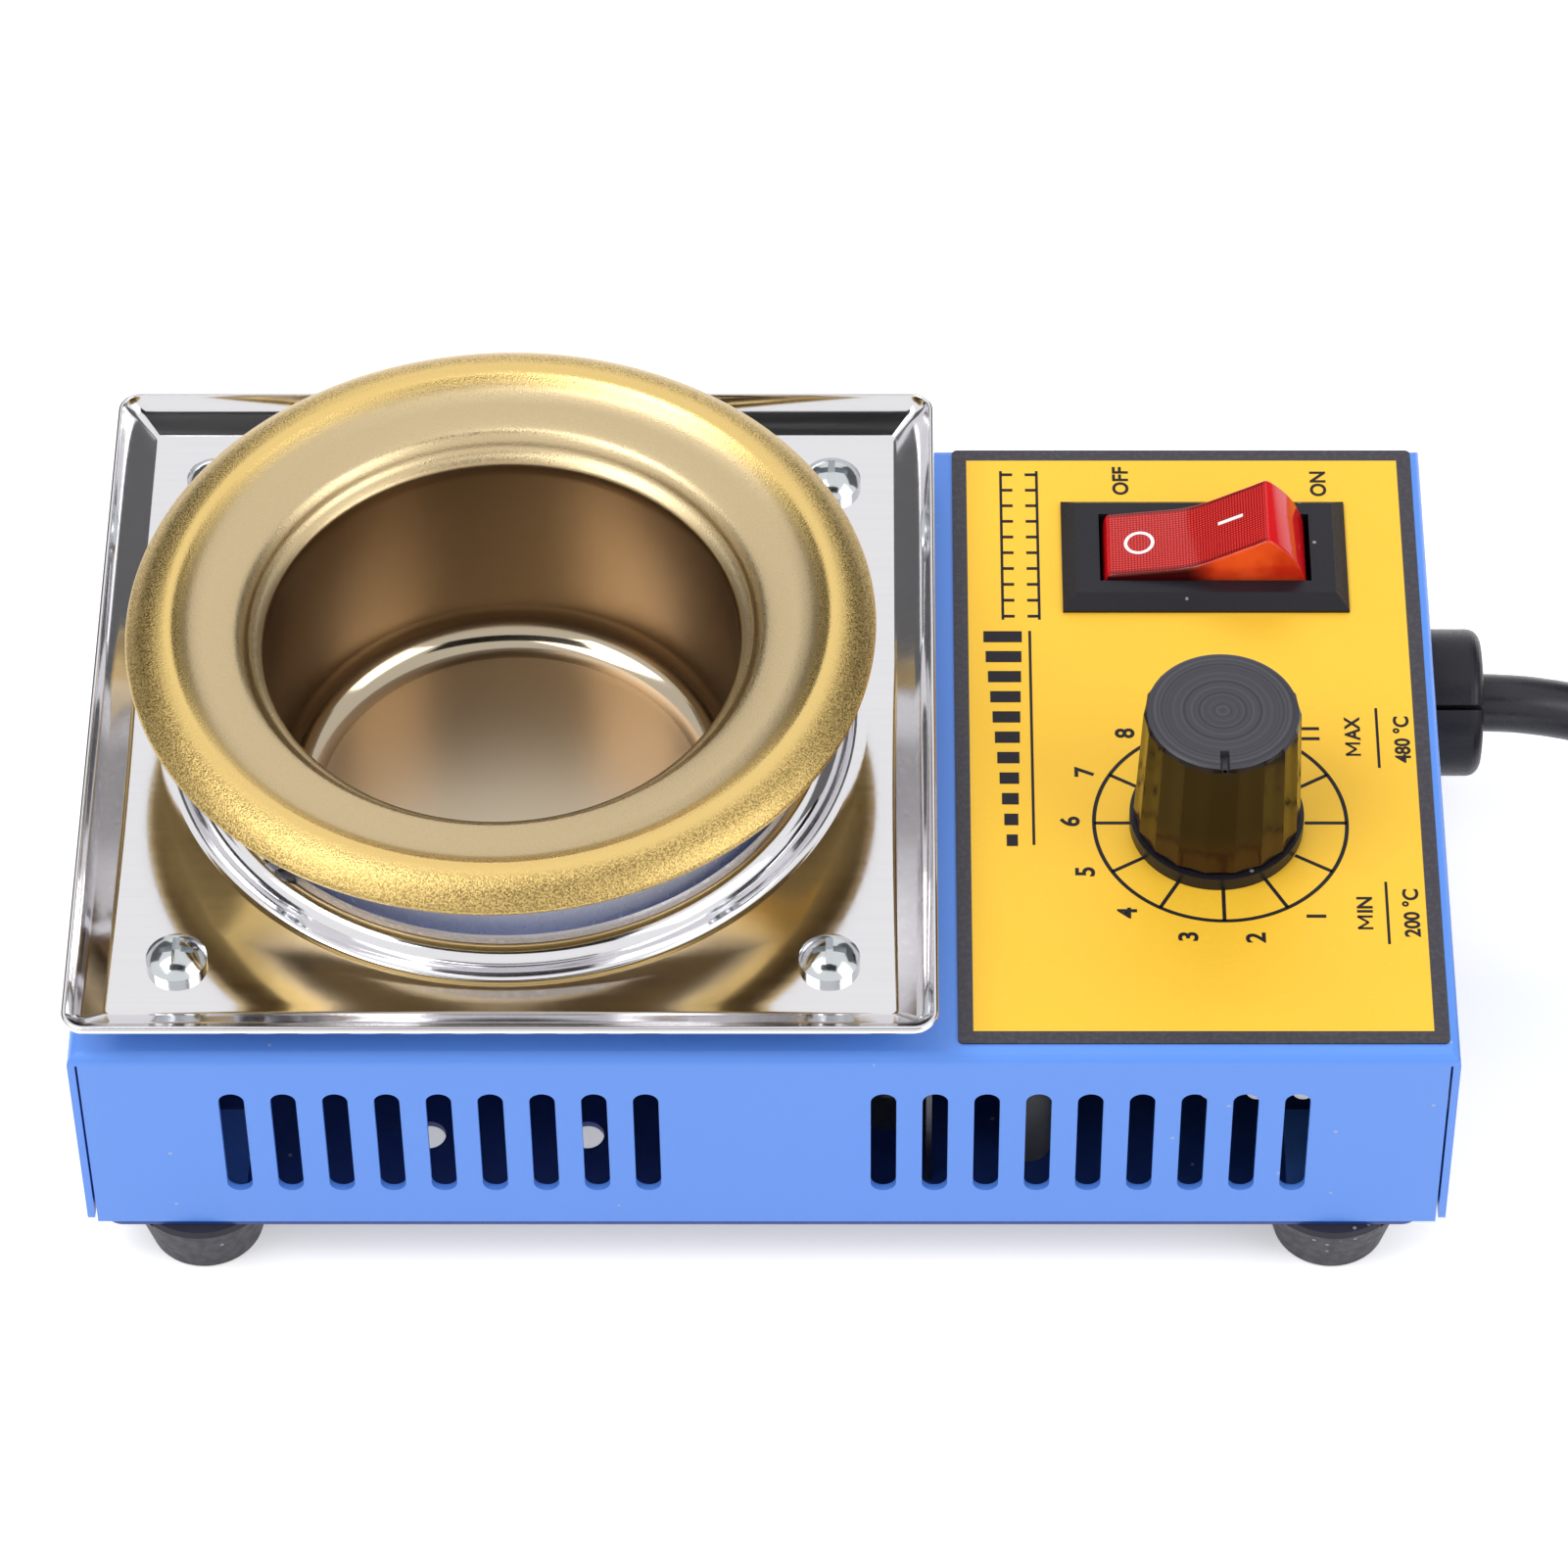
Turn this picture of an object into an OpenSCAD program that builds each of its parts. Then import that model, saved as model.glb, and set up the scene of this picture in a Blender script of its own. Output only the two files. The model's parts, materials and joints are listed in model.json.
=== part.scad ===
// Bench solder pot: a folded sheet-metal case on rubber feet, a drip tray
// with a heated crucible on the left and the controls on the right.
// Millimetres, +Z up, the table is z = 0, the case is centred on the origin,
// the controls are at +X and the front is at -Y.

/* [Case] */
// Length of the case from left to right
case_l = 145; // [140:1:160]
// Width of the case from front to back
case_w = 87; // [84:1:92]
// Height of the case's top above the table
case_top = 37; // [36:0.5:42]
// Thickness of the case's sheet
sheet_t = 0.8; // [0.6:0.1:1.0]
// Outside radius of the folds along the top
fold_r = 1.2; // [1:0.1:2]

/* [Feet] */
// Height of a rubber foot
foot_h = 8.2; // [7:0.1:8.4]
// Distance of a foot's axis from the middle, left and right
foot_x = 60.8; // [58:0.1:62]
// Distance of a foot's axis from the middle, front and back
foot_y = 36.9; // [34:0.1:37]

/* [Vent slots] */
// Number of slots in each of the two groups
slot_count = 9; // [5:1:9]
// Distance from one slot to the next
slot_pitch = 5.42; // [4.5:0.01:5.5]
// Width of a slot
slot_w = 2.7; // [2:0.1:3]
// Height of a slot
slot_h = 16.6; // [12:0.1:17]

/* [Crucible] */
// Distance of the crucible's axis from the middle of the case
crucible_x = -28; // [-28.5:0.1:-27]
// Inside radius of the crucible
bore_r = 25.2; // [24:0.1:25.4]
// Thickness of the crucible's wall
wall_t = 1.0; // [0.8:0.1:1.0]
// Height of the inside of the crucible's floor
floor_z = 27; // [26.8:0.1:30]

/* [Drip tray] */
// Distance of the tray's middle from the middle of the case
tray_x = -27.2; // [-27.6:0.1:-27]
// Width of the square tray over its rim
tray_w = 90.6; // [88:0.1:91]
// Width of the tray's flat floor
tray_floor_w = 81.9; // [80:0.1:84]
// Height of the top of the tray's floor
tray_z = 41.3; // [41:0.1:42]
// Height of the flared rim above the floor
rim_h = 3.0; // [2:0.1:4]
// Distance between neighbouring tray screws
tray_screw_pitch = 68; // [66:0.1:69]

/* [Control panel] */
// Distance of the rocker switch's middle from the middle of the case
switch_x = 47.9; // [46:0.1:49]
// Distance of the rocker switch's middle behind the middle of the case
switch_y = 26.6; // [26:0.1:28]
// Tilt of the rocker to each side of level
rocker_tilt = 18; // [12:1:18]
// Distance of the dial's axis from the middle of the case
dial_x = 48; // [46:0.1:49]
// Distance of the dial's axis behind the middle of the case
dial_y = -11.6; // [-13:0.1:-11]

/* [Mains cord] */
// Outside radius of the cord
cord_r = 3.2; // [3:0.1:3.4]
// Distance of the cord's outlet behind the middle of the case
cord_y = 17.5; // [17.5:0.1:17.5]
// Height of the cord's outlet
cord_z = 23.4; // [23.4:0.1:23.4]
// Distance of the put-away coil's middle from the middle of the case
coil_x = 141; // [141:1:141]

/* [Hidden] */
$fn = 64;

// case and base
cover_bottom = 9.0;
flap_lift = 0.7;
inner_top = case_top - sheet_t;
seam_gap = 0.25;
tab_l = 16;
tab_w = 12;
tab_y = 35;
base_t = cover_bottom - foot_h;
base_l = 140.8;
base_w = 86.6;
base_x = -0.5;
heater_hole_r = 34;
m3_r = 1.5;
m3_thread_r = 1.58;
m3_clear_r = 1.8;
slot_z = 22.8;
slot_first_x = 12.45;
foot_seat_z = 5.2;

// tray
rim_slope = rim_h / ((tray_w - tray_floor_w) / 2);
rim_drop = sheet_t / cos(atan(rim_slope));
under_half = tray_w / 2 - (rim_h - rim_drop + sheet_t) / rim_slope;
// outline of the raised collar, from its lip down to the tray's floor
collar = [
    [33, 3.2], [34.4, 3.1], [35.3, 2.6], [35.9, 1.8], [36.2, 0.9],
    [36.6, 0.25], [37.4, 0], [38, 0]
];
collar_hole_r = 37.5;

// crucible and heater
corner_r = 5;
lip_z = case_top + 16.2;
// outline of the rolled flange, outwards from the top of the bore
flange = [
    [0, 0], [0.2, 0.6], [0.7, 1.0], [1.2, 1.3], [1.6, 1.7], [2.0, 2.4],
    [2.7, 3.1], [3.7, 3.4], [5.4, 3.65], [6.6, 3.8], [7.8, 4.15], [8.8, 4.7],
    [9.9, 5.2], [11.6, 4.9], [13, 4.3], [14.3, 3.3]
];
under_z = floor_z - wall_t;
stud_r = 2.5;
bracket_t = 1.2;
bracket_top = 22;
bracket_half = 20;
heater_x = crucible_x + 0.9;
heater_in_r = 27.5;
heater_out_r = 31.2;
heater_bottom = 28.5;
heater_top = 51;
split_angle = 217;
shield_x = 17;

// controls
label_l = 84.4;
label_w = 51.2;
label_x = 45.8;
label_y = 0.7;
label_t = 0.2;
panel_z = case_top + label_t;
bezel_z = case_top + 2;
pivot_z = case_top - 1;
rocker_r = 11.3;
rocker_w = 9.3;
rocker_corner = 34.6;
face_slope = 10.5;
lever_z = pivot_z - 10.8;
lever_tilt = 10;
shaft_r = 3;
shaft_top = case_top + 12.5;
knob_bottom = case_top + 2.3;
knob_top = case_top + 18.6;
pot_bottom = case_top - 9.6;
pot_top = case_top - 2;
board_z = 22.2;
board_t = 1.6;
board_top = board_z + board_t;

// cord: the lead falls from the strain relief to the table, beside the coil
lead_points = [
    [62, 17.5, 23.4], [70, 17.5, 23.4], [78.6, 17.5, 23.4], [85, 17.5, 22.8],
    [92, 17.5, 20.8], [99, 17.5, 17], [105, 17.5, 12.7], [111, 17.5, 8.7],
    [117, 17.5, 5.5], [123, 17.5, 3.8], [130, 17.5, 3.2]
];
// the tail leaves the coil's upper layer, crosses the lead and enters the plug
tail_points = [
    [120, 14.3, 11.2], [125.7, 20, 12.1], [130, 23.6, 12.6], [135, 26.8, 12.9],
    [141, 29.5, 13], [147, 31.1, 13], [153, 31.7, 13], [157, 31.7, 13]
];
turn_pitch = 6.6;
turn_out_r = 42.4;
coil_y = cord_y - turn_out_r;
coil_in = turn_out_r - 2 * turn_pitch - cord_r;
coil_out = turn_out_r + cord_r;
coil_h = 2 * cord_r + turn_pitch;
tie_angle = -35;
plug_x = 157;
plug_y = 31.7;
plug_z = 13;

// ---- shared geometry ----

function unit(v) = v / norm(v);

// points of an arc about c, from angle a0 to a1, in n steps
function arc(c, r, a0, a1, n) =
    [for (i = [0:n]) c + r * [cos(a0 + (a1 - a0) * i / n), sin(a0 + (a1 - a0) * i / n)]];

// direction of the path p at its i-th point
function heading(p, i) = unit(p[min(i + 1, len(p) - 1)] - p[max(i - 1, 0)]);

// outline of a sheet of thickness t on the right-hand side of the path p
function sheet(p, t) = concat(p, [for (i = [len(p) - 1:-1:0])
    p[i] + t * [heading(p, i)[1], -heading(p, i)[0]]]);

// a smooth curve through the points p, with n steps between neighbours
function through(p, n) =
    let (last = len(p) - 1)
    concat(
        [for (i = [0:last - 1], k = [0:n - 1])
            let (
                t = k / n,
                a = p[max(i - 1, 0)], b = p[i], c = p[i + 1], d = p[min(i + 2, last)]
            )
            0.5 * (2 * b + (c - a) * t + (2 * a - 5 * b + 4 * c - d) * t * t
                + (3 * b - 3 * c + d - a) * t * t * t)],
        [p[last]]);

// a round tube of radius r swept along the points p
module tube(p, r, sides = 8, up = [0, 0.04, 1]) {
    n = len(p);
    rings = [for (i = [0:n - 1])
        let (
            t = heading(p, i),
            u = unit(cross(t, up)),
            v = cross(u, t)
        )
        for (k = [0:sides - 1])
            p[i] + r * (cos(360 * k / sides) * u + sin(360 * k / sides) * v)];
    walls = [for (i = [0:n - 2], k = [0:sides - 1])
        let (a = i * sides + k, b = i * sides + (k + 1) % sides)
        [a, b, b + sides, a + sides]];
    ends = [
        [for (k = [sides - 1:-1:0]) k],
        [for (k = [0:sides - 1]) (n - 1) * sides + k]
    ];
    polyhedron(points = rings, faces = concat(walls, ends), convexity = 6);
}

module rounded_rect(l, w, r) {
    square([l - 2 * r, w], center = true);
    square([l, w - 2 * r], center = true);
    for (x = [-1, 1], y = [-1, 1])
        translate([x * (l / 2 - r), y * (w / 2 - r)]) circle(r);
}

module obround(w, h) {
    square([w, h - w], center = true);
    for (s = [-1, 1]) translate([0, s * (h - w) / 2]) circle(w / 2);
}

module rod(r, z0, z1) {
    translate([0, 0, z0]) cylinder(r = r, h = z1 - z0);
}

// a rod along +X
module x_rod(r, x0, x1) {
    translate([x0, 0, 0]) rotate([0, 90, 0]) cylinder(r = r, h = x1 - x0);
}

module pipe(r_out, r_in, z0, z1) {
    difference() {
        rod(r_out, z0, z1);
        rod(r_in, z0 - 1, z1 + 1);
    }
}

module box(from, to) {
    translate(from) cube(to - from);
}

module hex_nut(across, bore, z0, z1) {
    difference() {
        translate([0, 0, z0]) cylinder(r = across / sqrt(3), h = z1 - z0, $fn = 6);
        rod(bore, z0 - 1, z1 + 1);
    }
}

// a pan-head screw that points down from its head's seat at z = 0
module pan_screw(head_r, head_h, r, length) {
    dome = head_h * 0.65;
    dome_r = (head_r * head_r + dome * dome) / (2 * dome);
    difference() {
        intersection() {
            rod(head_r, 0, head_h + 1);
            translate([0, 0, head_h - dome_r]) sphere(dome_r);
        }
        for (a = [0, 90]) rotate([0, 0, a])
            box([-head_r * 0.55, -head_r * 0.12, head_h * 0.4], [head_r * 0.55, head_r * 0.12, head_h + 1]);
    }
    rod(r, -length, 0.1);
}

module at_feet() {
    for (x = [-1, 1], y = [-1, 1]) translate([x * foot_x, y * foot_y, 0]) children();
}

module at_tray_screws() {
    for (x = [-1, 1], y = [-1, 1])
        translate([tray_x + x * tray_screw_pitch / 2, y * tray_screw_pitch / 2, 0]) children();
}

// where two crossing profiles meet, the corners are mitred
module mitred(profile_x, profile_y, reach) {
    intersection() {
        rotate([90, 0, 0]) linear_extrude(reach, center = true) polygon(profile_x);
        rotate([90, 0, 90]) linear_extrude(reach, center = true) polygon(profile_y);
    }
}

// ---- case ----

// an upright outline with its two top corners rounded
module fold_outline(w, z0, z1, r) {
    translate([-w / 2, z0]) square([w, z1 - r - z0]);
    translate([-w / 2 + r, z1 - r]) square([w - 2 * r, r]);
    for (s = [-1, 1]) translate([s * (w / 2 - r), z1 - r]) circle(r);
}

module folded_block(l, w, z0, z1, r) {
    intersection() {
        rotate([90, 0, 0]) linear_extrude(w, center = true) fold_outline(l, z0, z1, r);
        rotate([90, 0, 90]) linear_extrude(l, center = true) fold_outline(w, z0, z1, r);
    }
}

module vent_slots() {
    for (side = [-1, 1], i = [0:slot_count - 1])
        translate([side * (slot_first_x + i * slot_pitch), 0, slot_z])
            rotate([90, 0, 0]) linear_extrude(case_w + 4, center = true) obround(slot_w, slot_h);
}

module cover_shell() {
    difference() {
        folded_block(case_l, case_w, cover_bottom, case_top, fold_r);
        folded_block(case_l - 2 * sheet_t, case_w - 2 * sheet_t,
            cover_bottom - 2, inner_top, fold_r - sheet_t);
    }
}

module corner_seams() {
    seam_h = case_top - fold_r - cover_bottom + 1;
    for (x = [-1, 1], y = [-1, 1]) {
        translate([x * (case_l / 2 - sheet_t - seam_gap / 2), y * (case_w / 2 - sheet_t / 2),
            cover_bottom - 1 + seam_h / 2])
            cube([seam_gap, sheet_t + 0.4, seam_h], center = true);
        translate([x * (case_l / 2 - sheet_t / 2), y * case_w / 2, cover_bottom])
            cube([sheet_t + 0.02, 6, 2 * flap_lift], center = true);
    }
}

module case_cover() {
    color([0.32, 0.52, 0.95]) {
        difference() {
            cover_shell();
            translate([tray_x, 0, 0]) rod(heater_hole_r, inner_top - 1, case_top + 1);
            at_tray_screws() rod(m3_clear_r, inner_top - 1, case_top + 1);
            translate([switch_x, switch_y, case_top]) cube([27.6, 12.6, 6], center = true);
            translate([dial_x, dial_y, 0]) rod(3.8, case_top - 3, case_top + 3);
            translate([0, cord_y, cord_z]) x_rod(6.6, case_l / 2 - 2, case_l / 2 + 2);
            vent_slots();
            corner_seams();
        }
        for (x = [-1, 1], y = [-1, 1]) difference() {
            translate([x * (case_l / 2 - sheet_t - tab_l / 2 + 0.1), y * tab_y, cover_bottom + sheet_t / 2])
                cube([tab_l + 0.2, tab_w, sheet_t], center = true);
            translate([x * foot_x, y * foot_y, 0]) rod(m3_thread_r, 0, 20);
        }
    }
}

module base_plate() {
    color([0.12, 0.25, 0.62]) difference() {
        translate([base_x, 0, foot_h]) linear_extrude(base_t) rounded_rect(base_l, base_w, 2);
        at_feet() rod(m3_clear_r, 0, 20);
        for (s = [-1, 1]) {
            translate([crucible_x + s * 24, 0, 0]) rod(m3_thread_r, 0, 20);
            translate([shield_x - 4, s * 25, 0]) rod(m3_thread_r, 0, 20);
        }
        translate([37, 38.5, 0]) rod(m3_thread_r, 0, 20);
        for (a = [15:30:345]) translate([crucible_x, 0, 0]) rotate([0, 0, a])
            translate([33, 0, 0]) rod(1.8, 0, 20);
        for (y = [-1, 1], i = [0:4]) translate([38 + i * 5, y * 20, 0])
            linear_extrude(20) obround(2.4, 14);
    }
}

module foot() {
    color([0.1, 0.1, 0.11]) difference() {
        rotate_extrude() polygon([
            [m3_clear_r, foot_seat_z], [3.3, foot_seat_z], [3.3, 0], [5.8, 0], [6.1, 0.3],
            [7.9, foot_h - 0.6], [7.6, foot_h], [m3_clear_r, foot_h]
        ]);
        translate([7.9, 0, foot_h - 0.6]) cube([0.7, 1.6, 0.8], center = true);
    }
}

module foot_front_left() {
    translate([-foot_x, -foot_y, 0]) rotate([0, 0, 225]) foot();
}

module foot_front_right() {
    translate([foot_x, -foot_y, 0]) rotate([0, 0, -45]) foot();
}

module foot_rear_left() {
    translate([-foot_x, foot_y, 0]) rotate([0, 0, 135]) foot();
}

module foot_rear_right() {
    translate([foot_x, foot_y, 0]) rotate([0, 0, 45]) foot();
}

module foot_screws() {
    color("silver") at_feet()
        translate([0, 0, foot_seat_z]) mirror([0, 0, 1]) pan_screw(2.9, 2.2, m3_r, 8);
}

// ---- drip tray ----

module drip_tray() {
    a = tray_floor_w / 2;
    b = tray_w / 2;
    outside = [[-under_half, -sheet_t], [under_half, -sheet_t], [b, rim_h - rim_drop],
        [b, rim_h], [-b, rim_h], [-b, rim_h - rim_drop]];
    inside = [[-a, 0], [a, 0], [b + 1, rim_h + rim_slope], [-b - 1, rim_h + rim_slope]];
    color("silver") {
        difference() {
            translate([tray_x, 0, tray_z]) difference() {
                intersection() {
                    mitred(outside, outside, tray_w + 2);
                    translate([0, 0, -5]) linear_extrude(10) rounded_rect(tray_w, tray_w, 3);
                }
                mitred(inside, inside, tray_w + 6);
                rod(collar_hole_r, -5, 5);
            }
            at_tray_screws() rod(m3_clear_r, tray_z - 2, tray_z + 2);
        }
        translate([tray_x, 0, tray_z]) rotate_extrude() polygon(sheet(collar, sheet_t));
    }
}

module tray_screws() {
    color("silver") at_tray_screws() translate([0, 0, tray_z]) pan_screw(3.2, 2.3, m3_r, 10.5);
}

module tray_spacers() {
    color("silver") at_tray_screws() pipe(3.2, m3_clear_r, case_top, tray_z - sheet_t);
}

module tray_nuts() {
    color("silver") at_tray_screws() hex_nut(5.5, m3_thread_r, inner_top - 2.4, inner_top);
}

// ---- crucible and heater ----

module crucible() {
    inside = concat(
        [[0, floor_z]],
        arc([bore_r - corner_r, floor_z + corner_r], corner_r, -90, 0, 6),
        [for (p = flange) p + [bore_r, lip_z]]);
    color([0.8, 0.75, 0.65]) translate([crucible_x, 0, 0]) {
        rotate_extrude() polygon(sheet(inside, wall_t));
        rod(stud_r, under_z - 13, under_z + 0.2);
    }
}

module insulation_disc() {
    color("ivory") translate([crucible_x, 0, 0]) pipe(24.5, stud_r + 0.3, bracket_top, under_z);
}

module crucible_bracket() {
    w = 16;
    side = [
        [-27.5, 9], [-bracket_half + bracket_t, 9], [-bracket_half + bracket_t, bracket_top - bracket_t],
        [bracket_half - bracket_t, bracket_top - bracket_t], [bracket_half - bracket_t, 9],
        [27.5, 9], [27.5, 9 + bracket_t], [bracket_half, 9 + bracket_t],
        [bracket_half, bracket_top], [-bracket_half, bracket_top],
        [-bracket_half, 9 + bracket_t], [-27.5, 9 + bracket_t]
    ];
    color("lightgray") translate([crucible_x, 0, 0]) difference() {
        rotate([90, 0, 0]) linear_extrude(w, center = true) polygon(side);
        rod(stud_r + 0.3, bracket_top - 3, bracket_top + 1);
        for (s = [-1, 1]) translate([s * 24, 0, 0]) rod(m3_clear_r, 8, 12);
    }
}

module bracket_screws() {
    color("silver") for (s = [-1, 1])
        translate([crucible_x + s * 24, 0, 9 + bracket_t]) pan_screw(2.9, 2.2, m3_r, 4);
}

module crucible_washer() {
    color("silver") translate([crucible_x, 0, 0])
        pipe(6, stud_r + 0.3, bracket_top - bracket_t - 1, bracket_top - bracket_t);
}

module crucible_nut() {
    seat = bracket_top - bracket_t - 1;
    color("silver") translate([crucible_x, 0, 0]) hex_nut(8, stud_r + 0.08, seat - 4, seat);
}

// the two ears of one clamp, beside the band's split
module clamp_ears(z0, z1, reach) {
    for (s = [-1, 1]) difference() {
        translate([heater_out_r - 0.5, s * 3.2 - 0.6, z0]) cube([reach, 1.2, z1 - z0]);
        translate([heater_out_r + reach / 2, 0, (z0 + z1) / 2]) rotate([90, 0, 0])
            cylinder(r = 1.3, h = 20, center = true);
    }
}

module heater_band() {
    color("silver") translate([heater_x, 0, 0]) {
        difference() {
            pipe(heater_out_r, heater_in_r, heater_bottom, heater_top);
            rotate([0, 0, split_angle]) box([20, -2.6, 20], [40, 2.6, 60]);
        }
        rotate([0, 0, split_angle]) {
            clamp_ears(45.8, 50.2, 4);
            clamp_ears(29.5, 34, 5);
        }
        for (s = [-1, 1]) translate([0, s * 5, 32]) x_rod(2, 29.5, 36);
    }
}

module clamp_screws() {
    color("silver") translate([heater_x, 0, 0]) rotate([0, 0, split_angle])
        for (c = [[4, 48], [5, 31.75]])
            translate([heater_out_r + c[0] / 2, 3.8, c[1]]) rotate([-90, 0, 0]) pan_screw(2, 1.4, 1, 8.6);
}

module heat_shield() {
    color("lightgray") {
        difference() {
            box([shield_x, -38, 9], [shield_x + 0.6, 38, 34]);
            translate([shield_x, 10.8, 22]) x_rod(5, -2, 2);
        }
        for (s = [-1, 1]) difference() {
            box([shield_x - 8, s * 25 - 6, 9], [shield_x + 0.1, s * 25 + 6, 9.6]);
            translate([shield_x - 4, s * 25, 0]) rod(m3_clear_r, 8, 11);
        }
    }
}

module shield_screws() {
    color("silver") for (s = [-1, 1])
        translate([shield_x - 4, s * 25, 9.6]) pan_screw(2.9, 2.2, m3_r, 3);
}

// ---- panel, switch and dial ----

module control_label() {
    color([0.95, 0.8, 0.25]) difference() {
        translate([label_x, label_y, case_top]) linear_extrude(label_t)
            rounded_rect(label_w, label_l, 0.6);
        translate([switch_x, switch_y, case_top]) cube([28, 13, 4], center = true);
        translate([dial_x, dial_y, 0]) rod(3.8, case_top - 1, case_top + 2);
    }
}

module switch_housing() {
    color([0.08, 0.08, 0.08]) translate([switch_x, switch_y, 0]) difference() {
        union() {
            mitred(
                [[-15.7, panel_z], [15.7, panel_z], [15.7, panel_z + 0.4], [14.2, bezel_z],
                    [-14.2, bezel_z], [-15.7, panel_z + 0.4]],
                [[-8.1, panel_z], [8.1, panel_z], [8.1, panel_z + 0.4], [6.65, bezel_z],
                    [-6.65, bezel_z], [-8.1, panel_z + 0.4]],
                40);
            box([-13.7, -6.2, 21.5], [13.7, 6.2, panel_z + 0.2]);
        }
        box([-11.6, -4.95, 27], [11.6, 4.95, 50]);
        box([-9, -4.95, 23], [9, 4.95, 30]);
        translate([0, 0, pivot_z]) rotate([90, 0, 0]) cylinder(r = 1.25, h = 11.8, center = true);
        translate([0, 0, lever_z]) rotate([90, 0, 0]) cylinder(r = 0.85, h = 11.2, center = true);
        for (x = [-6, 0, 6]) translate([x, 0, 22]) cube([1.0, 5, 4], center = true);
    }
}

module switch_terminals() {
    color("goldenrod") translate([switch_x, switch_y, 0]) {
        for (x = [-6, 6]) {
            box([x - 0.4, -2.4, 14], [x + 0.4, 2.4, 23.2]);
            translate([x, 0, 0]) rod(1.0, 23.1, 23.5);
        }
        box([-0.4, -2.4, 14], [0.4, 2.4, 24.1]);
    }
}

// the rocker's side outline when level, with the pivot at the origin
function rocker_outline() = concat(
    arc([0, 0], rocker_r, -32, rocker_corner, 8),
    arc([0, 16.9], 12, -90 + face_slope, -90 - face_slope, 6),
    arc([0, 0], rocker_r, 180 - rocker_corner, 212, 8));

module rocker() {
    color([0.85, 0.1, 0.12])
        translate([switch_x, switch_y, pivot_z]) rotate([0, -rocker_tilt, 0]) difference() {
            union() {
                rotate([90, 0, 0]) linear_extrude(rocker_w, center = true) polygon(rocker_outline());
                rotate([90, 0, 0]) cylinder(r = 1.2, h = 11.7, center = true);
            }
            for (s = [-1, 1]) translate([s * 5.65, 0, -2]) cube([5.3, 7.2, 10.8], center = true);
            rod(1.25, -8, 1);
        }
}

module rocker_plunger() {
    color("white") translate([switch_x, switch_y, pivot_z]) rotate([0, -rocker_tilt, 0]) {
        rod(1.2, -8.6, -3);
        translate([0, 0, -8.6]) sphere(1.2);
    }
}

module plunger_spring() {
    turns = 5;
    coil = [for (i = [0:10 * turns])
        [0.75 * cos(36 * i), 0.75 * sin(36 * i), -2.85 + 3.65 * i / (10 * turns)]];
    color("silver") translate([switch_x, switch_y, pivot_z]) rotate([0, -rocker_tilt, 0])
        tube(coil, 0.15, 6);
}

module neon_lamp() {
    color("orange") translate([switch_x, switch_y, pivot_z]) rotate([0, -rocker_tilt, 0])
        translate([5.65, 0, 0]) {
            rod(2.2, 2.4, 3.4);
            rod(1.8, -3, 2.5);
            translate([0, 0, -3]) sphere(1.8);
        }
}

module contact_lever() {
    color("goldenrod") translate([switch_x, switch_y, lever_z]) rotate([0, lever_tilt, 0]) {
        cube([14, 6, 0.8], center = true);
        rotate([90, 0, 0]) cylinder(r = 0.8, h = 11, center = true);
    }
}

module knob() {
    height = knob_top - knob_bottom;
    color([0.3, 0.22, 0.15]) translate([dial_x, dial_y, 0]) difference() {
        translate([0, 0, knob_bottom]) linear_extrude(height, scale = 0.933)
            polygon([for (i = [0:17]) 8.9 * [cos(20 * i), sin(20 * i)]]);
        difference() {
            rod(7.2, knob_bottom - 1, knob_top - 4);
            rod(5, knob_bottom + 2.4, knob_top);
        }
        rod(shaft_r + 0.05, knob_bottom - 1, shaft_top + 0.3);
        box([-0.4, -9, knob_top - 1], [0.4, -5.7, knob_top + 1]);
    }
}

module dial_washer() {
    color([0.08, 0.08, 0.08]) translate([dial_x, dial_y, 0]) pipe(9.3, 6.3, panel_z, case_top + 1.9);
}

module potentiometer_nut() {
    color("silver") translate([dial_x, dial_y, 0]) hex_nut(10, 3.58, panel_z, case_top + 2.4);
}

module potentiometer_body() {
    color("silver") translate([dial_x, dial_y, 0]) difference() {
        union() {
            rod(8.2, pot_bottom, pot_top);
            rod(5, pot_top - 0.1, inner_top);
            rod(3.5, inner_top - 0.1, case_top + 4);
        }
        rod(7.4, pot_bottom + 1, pot_top - 1);
        rod(shaft_r + 0.05, pot_top - 2, case_top + 5);
    }
}

module potentiometer_shaft() {
    color("ivory") translate([dial_x, dial_y, 0]) {
        rod(shaft_r, pot_bottom + 1.6, shaft_top);
        rod(6.6, pot_bottom + 2.6, pot_bottom + 3.8);
    }
}

module potentiometer_pins() {
    color("silver") translate([dial_x, dial_y - 5, 0]) for (x = [-5, 0, 5])
        translate([x, 0, (board_top + pot_bottom) / 2]) cube([1.2, 0.5, pot_bottom - board_top], center = true);
}

// ---- electronics ----

post_places = [[28, -33], [65, -25.9], [29, 5], [65, 5]];

module control_board() {
    color([0.1, 0.4, 0.2]) difference() {
        box([26, -36, board_z], [68, 8, board_top]);
        for (p = post_places) translate([p[0], p[1], 0]) rod(1.6, board_z - 1, board_top + 1);
    }
}

module board_posts() {
    color("white") for (p = post_places) translate([p[0], p[1], 0]) {
        rod(2.5, 9, board_z);
        rod(1.3, board_z - 0.1, board_top + 1);
    }
}

module triac() {
    color([0.1, 0.1, 0.1]) {
        box([30, -31, board_top], [40, -21.5, board_top + 4.4]);
        for (x = [32.5, 35, 37.5]) box([x - 0.4, -21.6, board_top + 1], [x + 0.4, -19, board_top + 1.5]);
        for (x = [32.5, 35, 37.5]) box([x - 0.4, -19.5, board_top], [x + 0.4, -19, board_top + 1.1]);
    }
}

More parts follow.
